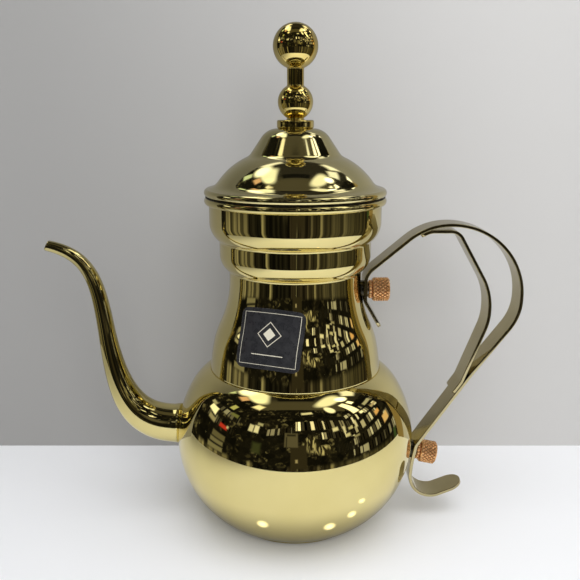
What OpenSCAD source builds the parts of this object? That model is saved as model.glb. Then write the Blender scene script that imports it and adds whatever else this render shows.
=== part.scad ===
// Long-spouted coffee pot with a squat round belly, a waisted neck with two stepped
// collars, a lift-off lid under a ball finial, and a strap handle held by two thumb nuts.
// Origin: centre of the flat base. +Z is up, the spout points to -X, the handle to +X.

/* [Sheet metal] */
// Thickness of the pot's pressed sheet
wall = 1; // [0.6:0.1:1.5]
// Thickness of the lid's pressed sheet
lid_wall = 0.9; // [0.6:0.1:1.5]
// Gap around a piece that turns or slides on another, measured on the radius
running_gap = 0.06; // [0.02:0.02:0.1]
// Gap around a stud where it passes through a strap or a washer
hole_gap = 0.2; // [0.1:0.1:0.5]

/* [Base] */
// Radius of the flat base
base_r = 37.7; // [34:0.1:42]
// Thickness of the base disc
base_t = 1; // [0.8:0.1:2]

/* [Belly] */
// Radius of the belly at its widest
belly_r = 66.8; // [63:0.1:70]
// Height of the belly's widest ring
belly_mid_z = 49.5; // [44:0.5:52]
// Radius of the arc above the widest ring
belly_top_r = 60; // [56:1:66]
// Radius of the tighter arc at the shoulder
shoulder_r = 28; // [24:1:32]
// Angle at which the shoulder arc begins, from the horizontal
shoulder_start = 30.7; // [26:0.1:36]

/* [Neck and collars] */
// Radius of the neck where it meets the belly
neck_foot_r = 47.4; // [45:0.1:50]
// Radius of the neck at its waist
neck_r = 36; // [33:0.1:39]
// Height of the neck's flared stretch
neck_flare_h = 50.4; // [44:0.2:58]
// Height of the neck's straight stretch
neck_waist_h = 4.4; // [2:0.2:8]
// Radius of the lower collar
collar_low_r = 41.1; // [39.5:0.1:42.5]
// Height of the lower collar's rounded foot
collar_low_foot_h = 9.2; // [8:0.2:11]
// Height of the lower collar's straight wall
collar_low_wall_h = 7.4; // [5:0.2:10]
// Radius of the upper collar
collar_top_r = 46.3; // [45:0.1:48]
// Height of the upper collar's rounded foot
collar_foot_h = 10; // [8:0.2:13]
// Height of the upper collar's straight wall
collar_wall_h = 9.3; // [7:0.1:12]
// Radius of the half-round bead around the mouth
mouth_bead_r = 2.15; // [1.8:0.05:2.6]

/* [Spout] */
// Height of the spout's root on the belly
spout_root_z = 54.7; // [50:0.1:60]
// Outer diameter of the spout at its root
spout_root_d = 21.8; // [18:0.2:24]
// Outer diameter of the spout halfway up
spout_mid_d = 9.6; // [8:0.2:12]
// Outer diameter of the spout at its tip
spout_tip_d = 6; // [5:0.1:7.5]
// Thickness of the spout's wall
spout_wall = 0.8; // [0.6:0.1:1.1]
// Distance from the belly's widest ring out to the spout's tip
spout_reach = 68.4; // [62:0.2:76]
// Height of the spout's tip
spout_tip_z = 158.4; // [150:0.2:168]
// Distance from the belly's widest ring out to the spout's middle
spout_mid_out = 38.7; // [35:0.1:43]
// Height of the spout's middle
spout_mid_z = 110; // [104:0.5:118]
// Diameter of each strainer hole behind the spout
strainer_hole_d = 2.6; // [2:0.2:2.8]
// Number of rings of strainer holes around the middle hole
strainer_rings = 2; // [1:1:2]

/* [Lid] */
// Distance that the lid's rolled edge stands out past the mouth bead
lid_overhang = 0; // [-0.5:0.1:1]
// Radius of the rolled edge itself
lid_bead_r = 2.1; // [1.8:0.05:2.3]
// Gap between the resting lid and the mouth
lid_seat_gap = 0.1; // [0.05:0.05:0.2]
// Width of the lid's flange from its outer edge to the foot of the dome
flange_w = 6.15; // [5.6:0.05:6.7]
// Rise of the lid's flange from the edge to the dome
flange_rise = 1.4; // [1:0.1:2]
// Width of the lid's lower dome from its foot in to the step
dome_w = 16.6; // [15:0.2:18]
// Height of the lid's lower dome
dome_h = 14.7; // [13:0.1:16]
// Radius of the arc of the lower dome
dome_arc_r = 38; // [34:1:46]
// Width of the step between the lid's two domes
step_w = 1.7; // [1.4:0.1:2.5]
// Rise of the step between the lid's two domes
step_h = 1; // [0.8:0.1:2]
// Height of the lid's upper dome
cap_h = 13.9; // [13:0.1:14.6]
// Slope of the upper dome's side, from the horizontal
cap_side_angle = 56; // [54:0.5:58]
// Radius of the shoulder between that side and the flat top
cap_shoulder_r = 10.5; // [9.5:0.1:11]
// Gap between the lid's sleeve and the mouth
sleeve_gap = 1.1; // [0.6:0.1:1.3]
// Depth of the lid's sleeve below the mouth
sleeve_depth = 7.6; // [5:0.2:12]

/* [Finial] */
// Radius of the finial's foot disc
foot_r = 9.75; // [9.2:0.05:11]
// Height of the finial's foot disc
foot_h = 4.3; // [3:0.1:5]
// Radius of the rounded edges of the foot disc
foot_edge_r = 0.9; // [0.3:0.1:1.4]
// Radius of the small ball
small_ball_r = 9.25; // [8:0.05:10.5]
// Radius of the large ball
big_ball_r = 11.7; // [10.5:0.1:13]
// Radius of the stem between the balls
stem_r = 4.4; // [3.8:0.1:5]
// Visible length of the stem
stem_h = 8.9; // [6:0.1:12]
// Diameter of the rod through the finial
rod_d = 4; // [3:0.5:5]
// Depth of the rod's end inside the large ball
rod_in_ball = 9; // [6:0.5:12]
// Length of rod showing under its nut
rod_below_nut = 2; // [1:0.5:4]
// Thickness of the washer inside the lid
rod_washer_t = 1; // [0.8:0.1:1.6]
// Diameter of the washer inside the lid
rod_washer_d = 12; // [10:0.5:14]
// Height of the hexagonal nut inside the lid
rod_nut_h = 3.2; // [2.4:0.2:5]
// Width across the flats of the hexagonal nut
rod_nut_w = 7; // [6.6:0.2:9]

/* [Handle straps] */
// Width of both straps
strap_w = 16; // [14:0.5:18]
// Thickness of both straps
strap_t = 1.8; // [1.4:0.1:2.4]
// Height of the outer strap's crown
crown_z = 170.6; // [164:0.2:176]
// Distance from the pot's axis to the far side of the outer strap
strap_out = 123.2; // [118:0.2:128]
// Radius of the bend between the crown and the upper slope
slope_bend_r = 35; // [33:1:36]
// Angle of the upper slope, from the horizontal
slope_angle = 40; // [38:1:43]
// Height of the outer strap where it turns back towards the pot
elbow_z = 120.4; // [116:0.2:122]
// Radius of that turn
elbow_bend_r = 28; // [22:1:32]
// Length of the straight tail below the upper stud
tail_l = 17; // [12:0.5:22]
// Angle of the tail, from the vertical
tail_angle = 30; // [24:1:34]
// Height of the hook's lowest run above the ground
hook_z = 12.8; // [11:0.2:15]
// Radius of the hook's bend
hook_bend_r = 12; // [10:0.5:13]
// Length of the hook's level run between its bend and its rising run
hook_l = 0.4; // [0.2:0.2:4]
// Length of the hook's rising run
hook_tip_l = 17.5; // [15:0.5:22]
// Angle of the hook's rising run, from the horizontal
hook_rise = 22; // [16:1:28]
// Gap between the two straps at the crown
crown_gap = 1.7; // [1:0.1:2.4]
// Distance from the outer strap in to the inner strap's far side
inner_in = 17; // [15:0.2:20]

/* [Handle fastenings] */
// Height of the upper stud
upper_stud_z = 134; // [130:0.5:138]
// Angle of the lower stud, below the horizontal
lower_stud_angle = 11; // [9:0.5:13]
// Diameter of both studs
stud_d = 5; // [4:0.5:6]
// Length of stud inside each thumb nut
stud_grip = 6.5; // [5:0.5:8]
// Diameter of the pads that the studs stand on
pad_d = 10; // [8:0.5:11]
// Height of the upper pad
upper_pad_h = 0.9; // [0.6:0.1:1.6]
// Height of the lower pad
lower_pad_h = 1.5; // [1:0.1:2.2]
// Diameter of the plain washers
washer_d = 8.4; // [7.5:0.1:9]
// Thickness of the plain washers
washer_t = 1.2; // [0.8:0.1:1.6]
// Diameter of the beaded collars
bead_collar_d = 10.4; // [9.6:0.1:11.2]
// Thickness of the beaded collars
bead_collar_t = 2.1; // [1.6:0.1:3]
// Number of beads around each collar
bead_count = 12; // [8:1:14]
// Diameter of the thumb nuts
nut_d = 13; // [11.5:0.1:14.5]
// Length of the thumb nuts
nut_l = 9.4; // [9:0.1:12]
// Chamfer at both ends of the thumb nuts
nut_chamfer = 0.8; // [0.4:0.1:1.2]

/* [Label] */
// Width of the label, around the neck
label_w = 35; // [20:1:40]
// Height of the label
label_h = 31; // [20:1:34]
// Corner radius of the label
label_corner_r = 4; // [1:0.5:8]
// Thickness of the label
label_t = 0.16; // [0.1:0.02:0.4]
// Height of the label's middle
label_z = 117; // [110:0.5:120]
// Turn of the label around the neck, from the front towards the spout
label_azimuth = 19.5; // [0:0.5:40]
// Roll of the label in its own plane
label_roll = 1; // [0:0.5:10]

/* [Hidden] */
$fn = 96;
arc_steps = 14; // points along each arc of a turned outline
bend_step = 3.75; // degrees of turn between the points of a strap's bend
ring_sides = 28; // sides around the spout
rings_per_span = 16; // rings along each half of the spout
cut = 0.5; // how far a cutting solid runs past what it cuts

// ---- colours ----
gold = "#cfc07a";
deep_gold = "#d8a534";
copper = "#b5763a";
dark_steel = "#45423a";

// ---- arcs of a turned outline: [centre radius, centre height, signed radius, from, to] ----
// A negative radius is an arc whose centre lies outside the sheet, so that the same
// subtraction moves every arc inwards by the sheet's thickness.
function arc_point(arc, angle, inset = 0) =
    [arc[0] + (arc[2] - inset) * cos(angle), arc[1] + (arc[2] - inset) * sin(angle)];
function arc_points(arc, inset = 0) =
    [for (i = [0:arc_steps]) arc_point(arc, arc[3] + (arc[4] - arc[3]) * i / arc_steps, inset)];
function arcs_points(arcs, inset = 0) = [for (arc = arcs) each arc_points(arc, inset)];
function reversed(list) = [for (i = [len(list) - 1:-1:0]) list[i]];

// An outward-bulging arc of radius r from point p up to point q.
function arc_between(p, q, r) =
    let (half = norm(q - p) / 2,
         along = (q - p) / (2 * half),
         centre = (p + q) / 2 + sqrt(r * r - half * half) * [-along[1], along[0]])
    [centre[0], centre[1], r,
     atan2(p[1] - centre[1], p[0] - centre[0]), atan2(q[1] - centre[1], q[0] - centre[0])];

// An arc from (r0, z0) that is upright where it reaches (r1, z1).
function arc_to_upright(r0, z0, r1, z1) =
    let (radius = (pow(r1 - r0, 2) + pow(z1 - z0, 2)) / (2 * abs(r1 - r0)))
    [r1 - radius, z1, radius, -asin((z1 - z0) / radius), 0];

// ---- belly ----
belly_low_arc = arc_to_upright(base_r, base_t, belly_r, belly_mid_z);
belly_top_arc = [belly_r - belly_top_r, belly_mid_z, belly_top_r, 0, shoulder_start];
shoulder_x = belly_top_arc[0] + (belly_top_r - shoulder_r) * cos(shoulder_start);
shoulder_z = belly_mid_z + (belly_top_r - shoulder_r) * sin(shoulder_start);
shoulder_end = acos((neck_foot_r - shoulder_x) / shoulder_r);
shoulder_arc = [shoulder_x, shoulder_z, shoulder_r, shoulder_start, shoulder_end];
belly_arcs = [belly_low_arc, belly_top_arc, shoulder_arc];
belly_foot_inside = -asin((belly_mid_z - base_t) / (belly_low_arc[2] - wall));
crease_outside = arc_point(shoulder_arc, shoulder_end);
crease_inside = arc_point(shoulder_arc, shoulder_end, wall);
belly_inner_arcs = [
    [belly_low_arc[0], belly_low_arc[1], belly_low_arc[2], belly_foot_inside, 0],
    belly_top_arc,
    shoulder_arc,
];

// Outer radius of the belly at height z, up to the shoulder.
function belly_radius_at(z) =
    let (arc = z < belly_mid_z ? belly_low_arc : belly_top_arc)
    arc[0] + sqrt(arc[2] * arc[2] - pow(z - arc[1], 2));

// ---- neck and collars ----
neck_z = crease_outside[1];
neck_arc_r = (pow(neck_foot_r - neck_r, 2) + pow(neck_flare_h, 2)) / (4 * (neck_foot_r - neck_r));
neck_sweep = asin(neck_flare_h / 2 / neck_arc_r);
neck_waist_z = neck_z + neck_flare_h;
neck_top_z = neck_waist_z + neck_waist_h;
neck_foot_arc = [neck_foot_r - neck_arc_r, neck_z, neck_arc_r, 0, neck_sweep];
neck_waist_arc = [neck_r + neck_arc_r, neck_waist_z, -neck_arc_r, neck_sweep, 0];
collar_low_foot_z = neck_top_z + collar_low_foot_h;
collar_low_top_z = collar_low_foot_z + collar_low_wall_h;
collar_low_arc = arc_to_upright(neck_r, neck_top_z, collar_low_r, collar_low_foot_z);
collar_top_z = collar_low_top_z + collar_foot_h;
collar_top_arc = arc_to_upright(collar_low_r, collar_low_top_z, collar_top_r, collar_top_z);
mouth_bead_z = collar_top_z + collar_wall_h + mouth_bead_r;
mouth_z = mouth_bead_z + mouth_bead_r;
bead_stand_out = 0.3; // how far the bead's middle stands outside the collar
mouth_bead_x = collar_top_r + bead_stand_out;
neck_arcs = [neck_foot_arc, neck_waist_arc, collar_low_arc, collar_top_arc];

// Outer radius of the neck at height z, within its flared stretch.
function neck_radius_at(z) =
    z < neck_z + neck_flare_h / 2
        ? neck_foot_arc[0] + sqrt(pow(neck_arc_r, 2) - pow(z - neck_z, 2))
        : neck_waist_arc[0] - sqrt(pow(neck_arc_r, 2) - pow(min(z, neck_waist_z) - neck_waist_z, 2));

// ---- spout: two Bezier spans of [out, up, diameter] ----
root_x = belly_radius_at(spout_root_z);
mid_x = belly_r + spout_mid_out;
tip_x = belly_r + spout_reach;
mid_lean = 7; // degrees that the spout's middle leans outwards
tip_lift = 12.6; // degrees that the tip points above the horizontal
tip_cut = 13; // degrees that the tip's cut leans back
root_handle = 26;
mid_handle_low = 38;
mid_handle_top = 28;
tip_handle = 24;
root_shape_d = 13; // diameters that shape the taper between root, middle and tip
mid_shape_d = 8.2;
tip_shape_d = 7.4;
mid_way = [sin(mid_lean), cos(mid_lean)];
tip_way = [cos(tip_lift), sin(tip_lift)];
low_span = [
    [root_x, spout_root_z, spout_root_d],
    [root_x + root_handle, spout_root_z, spout_root_d],
    [mid_x - mid_handle_low * mid_way[0], spout_mid_z - mid_handle_low * mid_way[1],
     root_shape_d],
    [mid_x, spout_mid_z, spout_mid_d],
];
top_span = [
    [mid_x, spout_mid_z, spout_mid_d],
    [mid_x + mid_handle_top * mid_way[0], spout_mid_z + mid_handle_top * mid_way[1],
     mid_shape_d],
    [tip_x - tip_handle * tip_way[0], spout_tip_z - tip_handle * tip_way[1], tip_shape_d],
    [tip_x, spout_tip_z, spout_tip_d],
];

function bezier(p, t) =
    pow(1 - t, 3) * p[0] + 3 * pow(1 - t, 2) * t * p[1] + 3 * (1 - t) * t * t * p[2]
    + pow(t, 3) * p[3];
function bezier_way(p, t) =
    pow(1 - t, 2) * (p[1] - p[0]) + 2 * (1 - t) * t * (p[2] - p[1]) + t * t * (p[3] - p[2]);
function way_angle(v) = atan2(v[1], v[0]);

// The outermost strainer holes stay this far inside the spout's bore.
strainer_margin = 0.4;
strainer_pitch = (spout_root_d / 2 - spout_wall - strainer_hole_d / 2 - strainer_margin)
    / strainer_rings;

// Each station is [out, up, diameter, angle of the way].
spout_stations = [
    for (i = [0:rings_per_span])
        let (t = i / rings_per_span) [each bezier(low_span, t), way_angle(bezier_way(low_span, t))],
    for (i = [1:rings_per_span])
        let (t = i / rings_per_span,
             lean = i == rings_per_span ? tip_cut : 0)
        [each bezier(top_span, t), way_angle(bezier_way(top_span, t)) + lean],
];

// One ring of points around a station; the first ring lies on the belly's own surface.
function spout_ring(k, inset) =
    let (s = spout_stations[k], r = s[2] / 2 - inset)
    [for (i = [0:ring_sides - 1])
        let (a = 360 * i / ring_sides,
             side = r * sin(a),
             lift = r * cos(a),
             z = s[1] + lift * cos(s[3]))
        k == 0
            ? [-sqrt(pow(belly_radius_at(z), 2) - side * side), side, z]
            : [-(s[0] - lift * sin(s[3])), side, z]];

// ---- strap outlines ----
function unit(v) = v / norm(v);
function left_of(v) = [-v[1], v[0]];
function turned(v, a) = [v[0] * cos(a) - v[1] * sin(a), v[0] * sin(a) + v[1] * cos(a)];
// Length that a bend of radius r takes from the runs before and after it.
function bend_run(r, turn) = r * tan(turn / 2);

// Points of one side of a strap around corner b, between corners a and c, with bend radius r.
function bend_side(a, b, c, r, off) =
    let (way_in = unit(b - a),
         way_out = unit(c - b),
         turn = atan2(cross(way_in, way_out), way_in * way_out),
         hand = sign(turn),
         start = b - way_in * r * tan(abs(turn) / 2),
         centre = start + left_of(way_in) * hand * r,
         steps = ceil(abs(turn) / bend_step) + 1)
    [for (i = [0:steps])
        let (across = left_of(turned(way_in, turn * i / steps)))
        centre + (off - hand * r) * across];

// Corners are [out, up, bend radius]; the first and last have no bend.
function xy(corner) = [corner[0], corner[1]];
function strap_side(corners, off) =
    let (n = len(corners),
         first_way = unit(xy(corners[1]) - xy(corners[0])),
         last_way = unit(xy(corners[n - 1]) - xy(corners[n - 2])))
    [
        xy(corners[0]) + off * left_of(first_way),
        for (i = [1:n - 2])
            each bend_side(xy(corners[i - 1]), xy(corners[i]), xy(corners[i + 1]), corners[i][2], off),
        xy(corners[n - 1]) + off * left_of(last_way),
    ];
function strap_outline(corners) =
    concat(strap_side(corners, strap_t / 2), reversed(strap_side(corners, -strap_t / 2)));

// Where a line from p along direction v reaches x, or reaches height z.
function at_x(p, v, x) = [x, p[1] + (x - p[0]) * v[1] / v[0]];
function at_z(p, v, z) = [p[0] + (z - p[1]) * v[0] / v[1], z];
// Where a line from p along v crosses a line from q along w.
function crossing(p, v, q, w) = p + v * cross(q - p, w) / cross(v, w);

// ---- studs ----
upper_seat = [neck_radius_at(upper_stud_z), upper_stud_z];
lower_way = [cos(lower_stud_angle), -sin(lower_stud_angle)];
lower_seat = arc_point(belly_low_arc, -lower_stud_angle);
lower_along = [sin(lower_stud_angle), cos(lower_stud_angle)];

// ---- outer strap's corners ----
flat_margin = 0.6; // straight strap left around a washer
least_run = 0.4; // straight strap left between two bends
upper_mid = upper_seat + [upper_pad_h + strap_t / 2, 0];
lower_mid = lower_seat + (lower_pad_h + strap_t / 2) * lower_way;
flat_half = washer_d / 2 + flat_margin;
tight_bend_r = 2.4;
slope_start_bend_r = 10;
clamp_bend_r = 4;
hook_neck_bend_r = 30;
hook_tip_bend_r = 10;
diagonal_bend_r = 110;
slope_way = [cos(slope_angle), sin(slope_angle)];
slope_foot_z = upper_stud_z + flat_half + bend_run(slope_start_bend_r, 90 - slope_angle);
slope_foot = [upper_mid[0], slope_foot_z];
crown_start = at_z(slope_foot, slope_way, crown_z);
tail_start = upper_mid - [0, flat_half + bend_run(tight_bend_r, tail_angle)];
tail_end = tail_start + tail_l * [sin(tail_angle), -cos(tail_angle)];
clamp_top = lower_mid + (flat_half + flat_margin) * lower_along;
clamp_foot = lower_mid - (flat_half + 2 * flat_margin) * lower_along;
elbow = [strap_out, elbow_z];
diagonal_sag = 1; // bow of the long diagonal towards the pot
diagonal_share = 0.56; // where the bow lies along it
diagonal_mid = clamp_top + diagonal_share * (elbow - clamp_top)
    + diagonal_sag * left_of(unit(elbow - clamp_top));
elbow_turn = acos(unit(elbow - diagonal_mid)[1]);
crown_bend_r = min(strap_out - crown_start[0] - bend_run(slope_bend_r, slope_angle),
                   crown_z - elbow_z - bend_run(elbow_bend_r, elbow_turn)) - least_run;
hook_set_in = 1.6; // how far the hook's neck leans in below the lower stud
hook_corner = [clamp_foot[0] - hook_set_in, hook_z];
hook_lean = atan2(hook_set_in, clamp_foot[1] - hook_z);
hook_turn = hook_corner
    + [bend_run(hook_bend_r, 90 + hook_lean) + hook_l + bend_run(hook_tip_bend_r, hook_rise), 0];
hook_tip = hook_turn + hook_tip_l * [cos(hook_rise), sin(hook_rise)];
outer_corners = [
    [each tail_end],
    [each tail_start, tight_bend_r],
    [each slope_foot, slope_start_bend_r],
    [each crown_start, slope_bend_r],
    [strap_out, crown_z, crown_bend_r],
    [each elbow, elbow_bend_r],
    [each diagonal_mid, diagonal_bend_r],
    [each clamp_top, clamp_bend_r],
    [each clamp_foot, hook_neck_bend_r],
    [each hook_corner, hook_bend_r],
    [each hook_turn, hook_tip_bend_r],
    [each hook_tip],
];

// ---- inner strap's corners ----
// Its top end lies along the underside of the outer strap's bend, its foot on the long diagonal.
lap_angle = 24; // where the top end leaves the outer strap's bend, from the vertical
lap_turn = 4; // degrees of that bend that the top end follows
lap_tail = 0.3; // straight stretch before the lap
solder_gap = 0.03; // gap between the two straps' laps
inner_fall = 60.4; // degrees of the run that falls away from the crown
inner_return = 69.5; // degrees of the run that comes back to the diagonal
inner_crown_l = 14.8;
inner_crown_bend_r = 7;
inner_side_bend_r = 36;
inner_return_bend_r = 32;
inner_foot_bend_r = 9;
inner_lap_l = 8;
inner_bend_gap = 1; // straight stretch between the two bends at the far side
slope_bend_centre = crown_start + [bend_run(slope_bend_r, slope_angle), -slope_bend_r];
lap_bend_r = slope_bend_r - strap_t - solder_gap;
lap_way = [cos(lap_angle), sin(lap_angle)];
lap_point = slope_bend_centre + lap_bend_r * left_of(lap_way);
lap_corner = lap_point - bend_run(lap_bend_r, lap_turn) * lap_way;
inner_start = lap_corner
    - (bend_run(lap_bend_r, lap_turn) + lap_tail) * turned(lap_way, lap_turn);
inner_crown_z = crown_z - strap_t - crown_gap;
inner_rise_end = at_z(lap_point, lap_way, inner_crown_z);
inner_turn = inner_rise_end + [inner_crown_l, 0];
inner_x = strap_out - inner_in;
fall_way = [cos(inner_fall), -sin(inner_fall)];
inner_side_top = at_x(inner_turn, fall_way, inner_x);
inner_side_drop = bend_run(inner_side_bend_r, 90 - inner_fall)
    + bend_run(inner_return_bend_r, 90 - inner_return) + inner_bend_gap;
inner_side_foot = inner_side_top - [0, inner_side_drop];
return_way = [-cos(inner_return), -sin(inner_return)];
diagonal_way = unit(clamp_top - diagonal_mid);
diagonal_face = diagonal_mid - (strap_t + solder_gap) * left_of(diagonal_way);
inner_foot = crossing(inner_side_foot, return_way, diagonal_face, diagonal_way);
inner_end = inner_foot + inner_lap_l * diagonal_way;
inner_corners = [
    [each inner_start],
    [each lap_corner, lap_bend_r],
    [each inner_rise_end, inner_foot_bend_r],
    [each inner_turn, inner_crown_bend_r],
    [each inner_side_top, inner_side_bend_r],
    [each inner_side_foot, inner_return_bend_r],
    [each inner_foot, inner_foot_bend_r],
    [each inner_end],
];

// ---- lid ----
lid_r = mouth_bead_x + mouth_bead_r + lid_overhang;
dome_foot_r = lid_r - flange_w;
dome_top_r = dome_foot_r - dome_w;
lid_seat_z = mouth_z + lid_seat_gap;
lid_bead_x = lid_r - lid_bead_r;
lid_bead_z = lid_seat_z + lid_bead_r;
lid_edge_z = lid_bead_z + lid_bead_r;
dome_foot = [dome_foot_r, lid_edge_z + flange_rise];
dome_top = [dome_top_r, dome_foot[1] + dome_h];
cap_foot = dome_top + [-step_w, step_h];
dome_arc = arc_between(dome_foot, dome_top, dome_arc_r);
lid_top_z = cap_foot[1] + cap_h;
cap_out = [sin(cap_side_angle), cos(cap_side_angle)]; // the way that the cap's side faces
shoulder_mid_z = lid_top_z - cap_shoulder_r;
shoulder_mid_x = (cap_foot * cap_out - cap_shoulder_r - shoulder_mid_z * cap_out[1]) / cap_out[0];
cap_arc = [shoulder_mid_x, shoulder_mid_z, cap_shoulder_r, 90 - cap_side_angle, 90];

// Side of the lid from the flange to its flat top, moved inwards by inset.
function lid_side(inset = 0) =
    concat(arc_points(dome_arc, inset), [cap_foot - inset * cap_out], arc_points(cap_arc, inset));

lid_under_z = lid_top_z - lid_wall;
sleeve_r = collar_top_r - wall - sleeve_gap;

// ---- finial ----
foot_top_z = lid_top_z + foot_h;
small_ball_flat = sqrt(pow(small_ball_r, 2) - pow(stem_r, 2));
big_ball_flat = sqrt(pow(big_ball_r, 2) - pow(stem_r, 2));
ball_neck_h = 1; // the small ball stands this far up on its own neck
small_ball_z = foot_top_z + ball_neck_h + small_ball_flat;
stem_z = small_ball_z + small_ball_flat;
stem_top_z = stem_z + stem_h;
big_ball_z = stem_top_z + big_ball_flat;
rod_end_z = stem_top_z + rod_in_ball;
rod_foot_z = lid_under_z - rod_washer_t - rod_nut_h - rod_below_nut;

// ---- shared shapes ----
// Everything inside the pot's outer surface, pushed out by grow.
module pot_solid(grow = 0) {
    rotate_extrude($fn = 240)
        polygon(concat(
            [[0, base_t], arc_point(belly_low_arc, belly_low_arc[3], -grow)],
            arcs_points(belly_arcs, -grow),
            arcs_points(neck_arcs, -grow),
            [[collar_top_r + grow, mouth_z], [0, mouth_z]]));
}

// Everything under the lid's inner surface, down past its sleeve.
module lid_inside() {
    rotate_extrude()
        polygon(concat(
            [[0, mouth_z - sleeve_depth - cut], [lid_bead_x, mouth_z - sleeve_depth - cut],
             [lid_bead_x, lid_edge_z - lid_wall]],
            lid_side(lid_wall),
            [[0, lid_under_z]]));
}

module ring(inner_radius, outer_radius, height) {
    difference() {
        cylinder(r = outer_radius, h = height);
        translate([0, 0, -cut]) cylinder(r = inner_radius, h = height + 2 * cut);
    }
}

// Puts what follows on a stud's axis: its +Z runs out of the pot, from the pot's skin.
module on_upper_stud(out = 0) {
    translate([upper_seat[0] + out, 0, upper_seat[1]]) rotate([0, 90, 0]) children();
}
module on_lower_stud(out = 0) {
    translate([lower_seat[0] + out * lower_way[0], 0, lower_seat[1] + out * lower_way[1]])
        rotate([0, 90 + lower_stud_angle, 0]) children();
}

module rounded_plate(w, h, r, t) {
    linear_extrude(t) {
        square([w - 2 * r, h], center = true);
        square([w, h - 2 * r], center = true);
        for (x = [-1, 1], y = [-1, 1])
            translate([x * (w / 2 - r), y * (h / 2 - r)]) circle(r);
    }
}

// Cuts that round a strap's end: at a point, with the strap running along an angle to it.
module end_rounding(point, angle, r) {
    reach = strap_t * 3;
    translate([point[0], 0, point[1]])
        rotate([0, -angle, 0])
            for (side = [-1, 1])
                translate([-r, side * (strap_w / 2 - r), -reach])
                    difference() {
                        translate([0, side > 0 ? 0 : -r - cut, 0]) cube([r + cut, r + cut, 2 * reach]);
                        translate([0, 0, -cut]) cylinder(r = r, h = 2 * (reach + cut));
                    }
}

module strap(corners) {
    rotate([90, 0, 0])
        linear_extrude(strap_w, center = true) polygon(strap_outline(corners));
}

// ---- pot ----
module base_disc() {
    edge = base_t / 2;
    color(gold)
        rotate_extrude()
            polygon([[0, 0], [base_r - edge, 0], [base_r, edge], [base_r, base_t], [0, base_t]]);
}

module strainer_holes() {
    row_h = strainer_pitch * sin(60);
    for (row = [-strainer_rings:strainer_rings],
         i = [0:2 * strainer_rings - abs(row)])
        translate([-belly_r - cut,
                   (i - strainer_rings + abs(row) / 2) * strainer_pitch,
                   spout_root_z + row * row_h])
            rotate([0, 90, 0]) cylinder(d = strainer_hole_d, h = belly_r / 2);
}

module belly_shell() {
    color(gold)
        difference() {
            rotate_extrude()
                polygon(concat(
                    arcs_points(belly_arcs),
                    reversed(arcs_points(belly_inner_arcs, wall))));
            strainer_holes();
        }
}

module neck_shell() {
    color(gold)
        rotate_extrude()
            polygon(concat(
                arcs_points(neck_arcs),
                [[collar_top_r, mouth_z], [collar_top_r - wall, mouth_z]],
                reversed(arcs_points(neck_arcs, wall)),
                [crease_inside]));
}

module mouth_bead() {
    color(gold)
        rotate_extrude()
            difference() {
                translate([mouth_bead_x, mouth_bead_z]) circle(mouth_bead_r);
                square([collar_top_r, mouth_z + cut]);
            }
}

module spout() {
    count = len(spout_stations);
    outside = [for (k = [0:count - 1]) each spout_ring(k, 0)];
    inside = [for (k = [0:count - 1]) each spout_ring(k, spout_wall)];
    skin = count * ring_sides;
    last = (count - 1) * ring_sides;
    walls = [
        for (k = [0:count - 2], i = [0:ring_sides - 1])
            let (j = (i + 1) % ring_sides, a = k * ring_sides, b = a + ring_sides)
            each [[a + i, a + j, b + i], [a + j, b + j, b + i],
                  [skin + a + i, skin + b + i, skin + a + j],
                  [skin + a + j, skin + b + i, skin + b + j]],
    ];
    ends = [
        for (i = [0:ring_sides - 1])
            let (j = (i + 1) % ring_sides)
            each [[i, skin + i, j], [j, skin + i, skin + j],
                  [last + i, last + j, skin + last + i],
                  [last + j, skin + last + j, skin + last + i]],
    ];
    color(gold) polyhedron(points = concat(outside, inside), faces = concat(walls, ends));
}

module label() {
    slope = (neck_radius_at(label_z - label_h / 4) - neck_radius_at(label_z + label_h / 4))
        / (label_h / 2);
    color("#1b1b1d")
        intersection() {
            difference() {
                pot_solid(label_t);
                pot_solid();
            }
            rotate([0, 0, -90 - label_azimuth])
                translate([neck_radius_at(label_z), 0, label_z])
                    rotate([0, 90 - atan(slope), 0])
                        rotate([0, 0, 90 - label_roll])
                            translate([0, 0, -neck_r / 2])
                                rounded_plate(label_w, label_h, label_corner_r, neck_r);
        }
}

// ---- handle ----
module outer_strap() {
    tip_flat = 0.4; // flat left at the hook's round tip
    tip_rounding = (strap_w - tip_flat) / 2;
    tail_rounding = 3.5;
    hole_r = stud_d / 2 + hole_gap;
    color(gold)
        difference() {
            strap(outer_corners);
            end_rounding(hook_tip, hook_rise, tip_rounding);
            end_rounding(tail_end, tail_angle - 90, tail_rounding);
            on_upper_stud() cylinder(r = hole_r, h = upper_pad_h + 2 * strap_t);
            on_lower_stud() cylinder(r = hole_r, h = lower_pad_h + 2 * strap_t);
        }
}

module inner_strap() {
    corner_r = 1.5;
    start_angle = lap_angle + lap_turn + 180;
    end_angle = atan2(diagonal_way[1], diagonal_way[0]);
    color(gold)
        difference() {
            strap(inner_corners);
            end_rounding(inner_start, start_angle, corner_r);
            end_rounding(inner_end, end_angle, corner_r);
        }
}

// A pad welded to the pot, with its foot shaped to the pot's skin.
module pad_blank(pad_h) {
    root = pad_d / 4;
    translate([0, 0, -root]) ring(stud_d / 2, pad_d / 2, root + pad_h);
}

module upper_pad() {
    color(dark_steel) difference() { on_upper_stud() pad_blank(upper_pad_h); pot_solid(); }
}

module lower_pad() {
    color(dark_steel) difference() { on_lower_stud() pad_blank(lower_pad_h); pot_solid(); }
}

// Distance from the pot's skin to a thumb nut's near face.
function nut_seat(pad_h) = pad_h + strap_t + washer_t + bead_collar_t;

module stud_blank(pad_h) {
    root = stud_d / 2;
    translate([0, 0, -root]) cylinder(d = stud_d, h = root + nut_seat(pad_h) + stud_grip);
}

module upper_stud() {
    color(dark_steel) difference() { on_upper_stud() stud_blank(upper_pad_h); pot_solid(); }
}

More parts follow.
